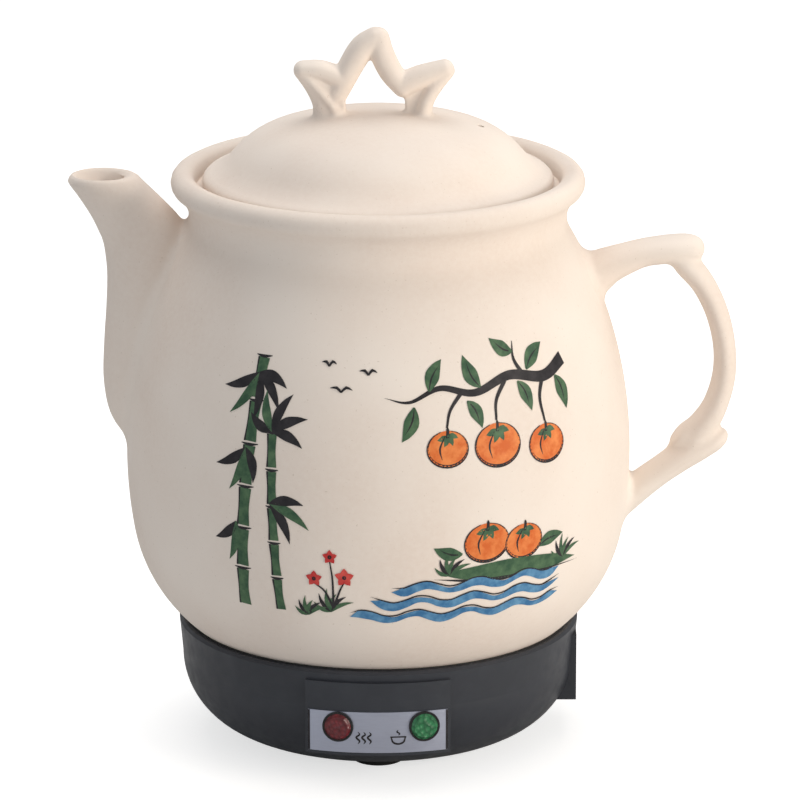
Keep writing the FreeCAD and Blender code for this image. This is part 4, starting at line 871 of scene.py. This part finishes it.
# %% Bank, water, blossoms and birds
WAVE_ROWS, WAVE_POINTS, WAVE_LOW, WAVE_RISE, WAVE_STEP = 3, 21, 82, 6.4, 5
WAVE_START, WAVE_SHIFT, WAVE_SWELL, WAVE_TURN = -12, 9, 1.5, 1.35
BLADE_ANGLES = (150, 122, 98, 74, 48, 26)
PETALS, BLOSSOM_ROOT = 5, (-19, 86)
# u, v and length of each tuft, and u, v and reach of each blossom and bird
TUFTS = ((-20, 84, 11), (31, 100, 10), (88, 99, 11), (-30, 82, 9))
BLOSSOMS = ((-14, 100, 4.2), (-27, 99, 3.6), (-20, 109, 3.2))
BIRDS = ((-16, 178, 5), (-4, 185, 4), (-22, 188, 3.4))


def wave(row):
    """A blue band with a line of ink above it, both thin at their ends."""
    start, height = WAVE_START + WAVE_SHIFT * row, WAVE_LOW + WAVE_RISE * row
    last = WAVE_POINTS - 2 * row - 1
    band, line = [], []
    for i in range(last + 1):
        u, v = start + WAVE_STEP * i, height + WAVE_SWELL * math.sin(WAVE_TURN * i + 2 * row)
        inside = 0 < i < last
        band.append((u, v, 3.2 + math.sin(i) if inside else 0))
        line.append((u, v + 1.9, 0.6 if inside else 0))
    picture.stroke("blue", *band)
    picture.stroke("ink", *line)


picture.stroke("green", (26, 101, 0), (38, 100, 5), (58, 100, 8), (80, 99, 6.4), (96, 98, 0))
picture.stroke("ink", (24, 98.6, 0), (44, 96.4, 1.5), (70, 96, 1.1), (98, 96, 0))
for row in range(WAVE_ROWS):
    wave(row)
for u, v, length in TUFTS:
    for blade, angle in enumerate(BLADE_ANGLES):
        ink, share = ("green", "ink", "green")[blade % 3], 0.8 + 0.1 * (blade % 3)
        picture.leaf(ink, u, v, angle, length * share, 1.8)
root_u, root_v = BLOSSOM_ROOT
for u, v, reach in BLOSSOMS:
    bend = ((u + root_u + 1) / 2, (v + root_v + 2) / 2, 0.8)
    picture.stroke("ink", (root_u, root_v, 1), bend, (u, v - 2, 0.5))
    for petal in range(PETALS):
        picture.leaf("red", u, v, 90 + 360 / PETALS * petal, reach, reach * 0.8, bend=0)
    picture.blot("ink", u, v, 0.9, 0.9)
for u, v, span in BIRDS:
    picture.stroke("ink", (u - span, v + 1.6, 0.2), (u - span * 0.4, v + 1.8, 1.2), (u, v, 0.7))
    picture.stroke("ink", (u, v, 0.7), (u + span * 0.45, v + 2, 1.2), (u + span, v + 1, 0.2))
print("the picture has", picture.marks, "marks in", sorted(picture.meshes))

# %% [markdown]
# ## Inks
# Fired inks are matt and lie a little thinner where the brush ran dry. Each ink has its full
# tone and a thin tone, and noise of 5 mm takes it from one to the other.

# %% Inks
INKS = {
    "ink": ((34, 32, 36), (52, 49, 52)),
    "orange": ((214, 104, 46), (236, 142, 78)),
    "green": ((52, 84, 62), (86, 116, 84)),
    "blue": ((58, 112, 158), (104, 154, 190)),
    "red": ((190, 52, 52), (218, 88, 80)),
}


def fired_ink(name, tone, thin):
    ink = Finish(name, IOR=1.45, Specular_IOR_Level=0.3)
    ink.set("Base Color", ink.mix(ink.ramp(ink.noise(5, 4, 0.6), 0.38, 0.68), tone, thin))
    ink.set("Roughness", ink.ramp(ink.noise(3, 3), 0.3, 0.7, 0.5, 0.64))
    ink.bump(ink.noise(0.7, 4, 0.65), 0.03, 0.3)
    return ink.material


FIRED = {name: fired_ink("fired " + name, *tones) for name, tones in INKS.items()}
for name, bm in picture.meshes.items():
    piece("picture_" + name, bm, FIRED[name], "pot")

# %% [markdown]
# ## Signs on the grey plate
# Beside each lamp stands a small printed sign: rising heat for boiling, and a steaming bowl
# for keeping warm. They are brush strokes too, wrapped on the plate. A thin dark line on each
# side is painted shadow: it stands for the shade in the recess that holds the plate.

# %% Printed signs and painted shadow lines
PLATE_REACH = -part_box("label_plate")[0][1] / MM
# half the angle that the plate spans, and how far inside its end the painted shadow lines lie
PLATE_HALF_ANGLE, SHADOW_LINE_INSET, SHADOW_LINE_WIDTH = math.radians(19.6), 0.5, 0.9
SHADOW_LINE_PLACE, SHADOW_LINE_LOW, SHADOW_LINE_HIGH = PLATE_REACH * PLATE_HALF_ANGLE - SHADOW_LINE_INSET, 17.2, 34.9
SIGN_HEIGHT, SIGN_STEP, HEAT_PLACES = 23.6, 0.4, (-8.4, -6, -3.6)
HEAT_WAVE = ((0, -2.6, 0.2), (0.7, -1.3, 0.8), (-0.7, 0.3, 0.8), (0.7, 1.6, 0.7), (0, 2.8, 0.2))
BOWL_RIM = ((5.2, 0.5, 0.6), (12, 0.5, 0.6))
BOWL = ((5.6, 0.4, 0.6), (6.4, -1.8, 0.8), (8.6, -2.6, 0.8), (10.8, -1.8, 0.8), (11.6, 0.4, 0.6))
STEAM = ((8.6, 1.3, 0.2), (9.2, 2, 0.6), (8, 2.8, 0.6), (8.6, 3.6, 0.2))


def on_plate(u, v, lift):
    return wrapped(u, v, PLATE_REACH, PLATE_REACH + lift)


print_and_shadow_lines = Picture(on_plate, ("ink",), SIGN_STEP)
for aside in HEAT_PLACES:
    print_and_shadow_lines.stroke("ink", *[(aside + u, SIGN_HEIGHT + v, width) for u, v, width in HEAT_WAVE])
for sign in (BOWL, STEAM, BOWL_RIM):
    print_and_shadow_lines.stroke("ink", *[(u, SIGN_HEIGHT + v, width) for u, v, width in sign])
# painted shadow: a dark ink line down each side of the plate stands for the recess's shade
for side in (-1, 1):
    shadow_line_ends = [(side * SHADOW_LINE_PLACE, height, SHADOW_LINE_WIDTH) for height in (SHADOW_LINE_LOW, SHADOW_LINE_HIGH)]
    print_and_shadow_lines.stroke("ink", *shadow_line_ends)
piece("plate_print_and_painted_shadow", print_and_shadow_lines.meshes["ink"], FIRED["ink"], "pot")
print("the plate's face lies", round(PLATE_REACH, 1), "mm from the axis")

# %% [markdown]
# ## The lid
# A low dome that sweeps out into a rounded brim and lies loose inside the rim. Below, a ring
# keeps it in place. Its profile is spun like the jar's.

# %% The lid's form
LID_TOP, CROWN_ARC, CROWN_REACH = 273, 159, 44
SHOULDER_ARC, SHOULDER_REACH, COVE_ARC = 36, 62, 28
BRIM_RADIUS, BRIM_THICKNESS, LID_WALL = 74.6, 7.4, 5.5
RING_OUTER, RING_INNER, RING_LOW, RING_BEVEL, RING_BEND, BELOW_RING = 68.3, 64.3, 232, 1, 1.1, 2
VENT_REACH, VENT_RADIUS, VENT_LENGTH = 43.5, 1.5, 20


def dome(wall=0):
    """Crown, crown's edge and shoulder's edge of the dome, or of its inside."""
    low = LID_TOP - CROWN_ARC
    fall = math.sqrt(CROWN_ARC**2 - CROWN_REACH**2)
    share = 1 - SHOULDER_ARC / CROWN_ARC
    centre = (CROWN_REACH * share, low + fall * share)
    across = SHOULDER_REACH - centre[0]
    up = math.sqrt(SHOULDER_ARC**2 - across**2)
    crown_share, shoulder_share = 1 - wall / CROWN_ARC, 1 - wall / SHOULDER_ARC
    return (
        (0, LID_TOP - wall),
        (CROWN_REACH * crown_share, low + fall * crown_share),
        (centre[0] + across * shoulder_share, centre[1] + up * shoulder_share),
    )


crown, crown_edge, shoulder_edge = dome()
brim_turn, brim_half = BRIM_RADIUS - BRIM_THICKNESS / 2, BRIM_THICKNESS / 2
lid_outside = turned(
    (0, RING_LOW),
    (RING_OUTER - RING_BEVEL, RING_LOW, RING_BEND),
    (RING_OUTER, RING_LOW + RING_BEVEL),
    (RING_OUTER, LEDGE_HEIGHT),
    (brim_turn, LEDGE_HEIGHT, brim_half),
    (BRIM_RADIUS, LEDGE_HEIGHT + brim_half, brim_half),
    (brim_turn, LEDGE_HEIGHT + BRIM_THICKNESS, -COVE_ARC),
    (*shoulder_edge, SHOULDER_ARC),
    (*crown_edge, CROWN_ARC),
    crown,
)
inner_crown, inner_crown_edge, inner_shoulder_edge = dome(LID_WALL)
lid_inside = turned(
    (0, RING_LOW - BELOW_RING),
    (RING_INNER, RING_LOW - BELOW_RING),
    (RING_INNER, LEDGE_HEIGHT),
    (*inner_shoulder_edge, SHOULDER_ARC - LID_WALL),
    (*inner_crown_edge, CROWN_ARC - LID_WALL),
    inner_crown,
)
print("the lid is", 2 * BRIM_RADIUS, "mm wide and", LID_TOP - RING_LOW, "mm high without its knob")

# %% [markdown]
# ## The knob
# Bent twigs rise to three peaks. Each twig is a limb between two points, bowed a little, and
# flat webs of clay fill the two side loops. Here so many limbs meet that joining them one by
# one leaves slivers, so a Remesh modifier draws one even skin over all of them. That skin is
# relaxed and luted to the lid.

# %% The knob's twigs
# x, z, half thickness, half width for each limb
KNOB_LIMBS = (
    # left foot, broad, to the left peak
    (
        (-20.4, 267, 8, 5.2),
        (-20.8, 276, 6.9, 4.6),
        (-23.6, 282, 6.2, 4.3),
        (-28, 287, 4.8, 4.4),
        (-31.9, 291, 3.9, 4.4),
    ),
    # its ridge, from the left peak down to the right
    ((-30, 288.5, 2.5, 4.6), (-24, 282, 2.9, 5.5), (-18.6, 275, 3.2, 6.2), (-15.4, 267, 4.4, 6.8)),
    # left peak along the top to the left valley
    ((-31.8, 291.4, 3.9, 4.8), (-24, 291, 4.4, 5.8), (-15.4, 287.6, 4.8, 6)),
    # middle peak down the left side into the left lobe
    (
        (-1.2, 304.7, 5.1, 5.4),
        (-6.4, 301, 5.5, 5.8),
        (-11, 293.8, 5.4, 6),
        (-15, 286, 5.1, 5.8),
        (-18, 279.6, 4.6, 5),
    ),
    # middle peak down the right side to the right valley
    ((0.2, 304.9, 4.8, 5.2), (1.6, 298.6, 5.2, 5.6), (5.5, 290.4, 5.1, 5.8), (10.6, 284, 4.6, 5.8)),
    # right valley, broad, to the right peak
    ((11.4, 285.4, 5.2, 6), (18, 288.4, 5, 5.8), (28.2, 292, 3.9, 4.8)),
    # right peak to the right foot
    (
        (28.8, 291, 3.8, 4.2),
        (24.2, 284.6, 3.5, 4.1),
        (20.8, 278.6, 3.4, 4.7),
        (19.3, 273.6, 3.6, 5.4),
        (19.2, 267, 4.8, 6.6),
    ),
)


def web(corners, half):
    """A flat web of clay in the XZ plane."""
    bm = bmesh.new()
    face = bm.faces.new([bm.verts.new((x, -half, z)) for x, z in corners])
    made = bmesh.ops.extrude_face_region(bm, geom=[face])["geom"]
    bmesh.ops.translate(bm, vec=(0, 2 * half, 0), verts=only(made, bmesh.types.BMVert))
    bmesh.ops.recalc_face_normals(bm, faces=bm.faces)
    return bm


WEBS = (
    # corners, half thickness
    (((-28, 286.4), (-15.6, 283.4), (-13.6, 277), (-14, 267), (-21, 267)), 4.1),
    (((10.8, 284), (24, 288), (19.6, 267), (11, 267), (11.4, 277)), 1.5),
)
KNOB_SIDES, KNOB_GRAIN, KNOB_ROUNDS = 28, 0.6, 4


def knob():
    limbs = [limb(twig(stations), sides=KNOB_SIDES) for stations in KNOB_LIMBS]
    return skinned([*limbs, *[web(*numbers) for numbers in WEBS]], KNOB_GRAIN, KNOB_ROUNDS)


print("the knob has", len(KNOB_LIMBS), "limbs and", len(WEBS), "webs")

# %% [markdown]
# ## Build the lid
# The knob goes on while the lid is still solid. Then its inside and the steam vent are cut, so
# the knob's feet never stick out below.

# %% Build the lid
KNOB_SEAM, KNOB_SEAM_ROUNDS = 4, 6
lid_form = luted(lid_outside, knob(), KNOB_SEAM, KNOB_SEAM_ROUNDS, FINE_EDGE)
vent_drill = drill(VENT_RADIUS, VENT_LENGTH, (VENT_REACH, 0, crown_edge[1]), (0, 0, 1))
for cutter in (lid_inside, vent_drill):
    lid_form = combined(lid_form, cutter, "DIFFERENCE")
piece("lid_with_knob", lid_form, STONEWARE, "lid", ("lid", "lid_knob"))

# %% [markdown]
# ## Plastics and metals
# The base is moulded from black plastic with a fine grain and faint scuffs. The small parts
# inside are plain metals and plastics. They can be seen when the base is opened, so each has
# its own grain. Noise gives it in its real size, with no picture to stretch.

# %% Finishes of the base
def moulded(name, tone, light, rough, grain=0.35, depth=0.03):
    """Moulded plastic or rubber with a fine grain and a little wear."""
    plastic = Finish(name, IOR=1.49, Specular_IOR_Level=0.4)
    wear = plastic.ramp(plastic.noise(14, 4, 0.6), 0.45, 0.8, 0, 0.5)
    plastic.set("Base Color", plastic.mix(wear, tone, light))
    plastic.set("Roughness", plastic.ramp(plastic.noise(6, 3), 0.3, 0.7, rough - 0.06, rough + 0.08))
    plastic.bump(plastic.noise(grain, 3, 0.6), depth, 0.5)
    return plastic.material


def metal(name, tone, light, rough, stretch=(1, 1, 14)):
    """Metal with drawn or brushed lines."""
    steel = Finish(name, Metallic=1.0)
    lines = steel.noise(6, 4, 0.7, stretch)
    steel.set("Base Color", steel.mix(steel.ramp(lines, 0.3, 0.7), tone, light))
    steel.set("Roughness", steel.ramp(lines, 0.3, 0.7, rough - 0.06, rough + 0.1))
    steel.bump(lines, 0.02, 0.3)
    return steel.material


FINISHES = {
    "shell_plastic": moulded("black shell plastic", (48, 51, 58), (60, 63, 70), 0.42),
    "inlet_plastic": moulded("inlet plastic", (30, 30, 32), (40, 40, 42), 0.5),
    "rubber": moulded("foot rubber", (28, 28, 28), (44, 43, 41), 0.75, 0.5, 0.06),
    "silicone": moulded("dark silicone", (34, 34, 35), (48, 47, 46), 0.6),
    "clear_silicone": moulded("pale silicone", (206, 202, 194), (220, 216, 208), 0.45),
    "terminal_plastic": moulded("terminal plastic", (214, 208, 190), (226, 220, 204), 0.5),
    "switch_case": moulded("switch case", (60, 38, 28), (78, 52, 40), 0.35),
    "fuse_sleeve": moulded("woven sleeve", (210, 208, 198), (188, 184, 172), 0.8, 0.8, 0.2),
    "lead_brown": moulded("brown lead", (96, 58, 36), (112, 70, 46), 0.5),
    "lead_blue": moulded("blue lead", (40, 84, 150), (54, 98, 164), 0.5),
    "lead_green": moulded("green lead", (96, 140, 58), (150, 160, 60), 0.5),
    "panel_plate": metal("panel plate", (173, 177, 194), (183, 188, 204), 0.42, (1, 1, 10)),
    "cast_aluminium": metal("cast aluminium", (190, 192, 194), (206, 208, 210), 0.5, None),
    "element_sheath": metal("element sheath", (120, 114, 108), (140, 134, 128), 0.5),
    "stainless": metal("stainless steel", (190, 190, 192), (206, 206, 208), 0.3),
    "zinc_steel": metal("zinc plated steel", (178, 180, 184), (198, 200, 204), 0.36, None),
    "pin_brass": metal("pin brass", (206, 178, 112), (222, 196, 132), 0.3),
}
print(len(FINISHES), "finishes for the base")

# %% [markdown]
# ## Lamps
# The lenses are clear coloured plastic with facets that would scatter the light of a small neon
# lamp. That light is painted into the colour: each facet is lighter in its middle and has
# painted shade at its edges. A little transmission with a strong colour gives depth without a
# black core.

# %% Lamp finishes
FACET = 2


def lens(name, painted_shade_tone, painted_lit_tone):
    """Coloured plastic with painted light in the middle of each facet and painted shade at its edges."""
    glass = Finish(name, Roughness=0.34, IOR=1.49, Coat_Weight=0.15, Coat_Roughness=0.3)
    facets = glass.node("TexVoronoi", {"Vector": glass.place, "Scale": 1 / (FACET * MM)})
    # facet middles get the painted light tone, facet edges the painted shade tone
    glass.set("Base Color", glass.mix(glass.ramp(facets, 0.1, 0.7), painted_lit_tone, painted_shade_tone))
    glass.set("Transmission Weight", 0.15)
    glass.bump(facets, 0.8, 0.8)
    return glass.material


def lamp_glass():
    glass = Finish("lamp glass", IOR=1.47, Transmission_Weight=0.9)
    warmth = glass.ramp(glass.noise(4, 2), 0.3, 0.7)
    glass.set("Base Color", glass.mix(warmth, (240, 214, 190), (226, 190, 160)))
    glass.set("Roughness", glass.ramp(glass.noise(5, 2), 0.3, 0.7, 0.03, 0.1))
    return glass.material


# each lens: its painted shade tone for the facet edges, then its painted light tone
FINISHES["red_lens"] = lens("red lens", (94, 22, 30), (128, 40, 48))
FINISHES["green_lens"] = lens("green lens", (30, 102, 62), (60, 146, 94))
FINISHES["bezel_plastic"] = moulded("bezel plastic", (24, 24, 26), (34, 34, 36), 0.25)
FINISHES["lamp_glass"] = lamp_glass()
print(len(FINISHES), "finishes with the lamps")

# %% [markdown]
# ## Dress the CAD nodes
# The parts of the base are used as they come from the frame. The record names a material slot
# for each node, so one loop gives each its finish. The clay has its own meshes already.

# %% Dress the CAD nodes
slots = {part["node"]: part["material_slot"] for part in frame["record"]["subparts"]}
dressed = [name for name, slot in slots.items() if slot != "stoneware"]
for name in dressed:
    materials = frame["nodes"][name].data.materials
    materials.clear()
    materials.append(FINISHES[slots[name]])
print("dressed", len(dressed), "nodes")

# %% [markdown]
# ## Floor and light
# A pale floor, a white sky and three soft lights: a warm key from the front right, where the
# clay is brightest, a weaker and cooler fill from the left, and one above that lights the lid
# and the rim. Places in the studio are in metres.

# %% The floor and the sky
FLOOR_HALF, FLOOR_GLOW, SKY_GLOW, SKY_SEEN = 6, 0.66, 0.38, 1.0
floor_mesh = bmesh.new()
bmesh.ops.create_grid(floor_mesh, x_segments=1, y_segments=1, size=FLOOR_HALF)
floor = as_object(floor_mesh, "studio_floor")


def backdrop_white():
    """A pale matt floor that keeps a soft shadow and looks white to the camera."""
    paint = Finish("pale floor", Base_Color=colour((216, 216, 216)), Roughness=0.9)
    seen = paint.node("LightPath", {})
    paint.set("Emission Color", (1.0, 1.0, 1.0))
    paint.set("Emission Strength", paint.ramp(seen, 0, 1, 0, FLOOR_GLOW))
    return paint.material


floor.data.materials.append(backdrop_white())

world = bpy.data.worlds.new("studio")
world.use_nodes = True
bpy.context.scene.world = world
nodes, link = world.node_tree.nodes, world.node_tree.links.new
sky = nodes["Background"]
sky.inputs["Color"].default_value = (1, 1, 1, 1)
seen = nodes.new("ShaderNodeLightPath")
glow = nodes.new("ShaderNodeMapRange")
glow.inputs["To Min"].default_value = SKY_GLOW
glow.inputs["To Max"].default_value = SKY_SEEN
link(seen.outputs["Is Camera Ray"], glow.inputs["Value"])
link(glow.outputs["Result"], sky.inputs["Strength"])
print("sky strength", SKY_GLOW, "for the light and", SKY_SEEN, "for the camera")

# %% Soft lights
LIGHT_AIM = Vector((0, 0, 0.15))
SOFT_LIGHTS = (
    # name, place, size, watts, tint
    ("key", (1.6, -0.92, 0.5), 0.9, 21.5, (1.0, 0.93, 0.83)),
    ("fill", (-1.2, -1.5, 0.6), 1.2, 3.7, (0.78, 0.9, 1.0)),
    ("top", (0, 0.35, 1.7), 1.4, 15.5, (1.0, 0.975, 0.95)),
)


def soft_light(name, place, size, watts, tint):
    lamp = bpy.data.lights.new(name, "AREA")
    lamp.shape, lamp.size, lamp.energy, lamp.color = "SQUARE", size, watts, tint
    thing = bpy.data.objects.new(name, lamp)
    thing.location = place
    thing.rotation_euler = (LIGHT_AIM - Vector(place)).to_track_quat("-Z", "Y").to_euler()
    bpy.context.scene.collection.objects.link(thing)


for numbers in SOFT_LIGHTS:
    soft_light(*numbers)
print(len(SOFT_LIGHTS), "soft lights")

# %% [markdown]
# ## The camera
# A long lens from far away keeps the jar's sides nearly parallel. It looks down a little, so
# that the lid and the mouth of the spout show as ovals.

# %% The camera
LENS, SENSOR, DISTANCE, ELEVATION = 251.9, 36, 2.401, math.radians(15.94)
AIM = Vector((9.3, -0.97, 146.6)) * MM
lens_data = bpy.data.cameras.new("camera")
lens_data.lens, lens_data.sensor_width = LENS, SENSOR
camera = bpy.data.objects.new("camera", lens_data)
camera.location = AIM + DISTANCE * Vector((0, -math.cos(ELEVATION), math.sin(ELEVATION)))
camera.rotation_euler = (math.pi / 2 - ELEVATION, 0, 0)
bpy.context.scene.collection.objects.link(camera)
bpy.context.scene.camera = camera
bpy.context.scene.view_settings.view_transform = "Standard"
print("camera at", [round(c, 3) for c in camera.location])
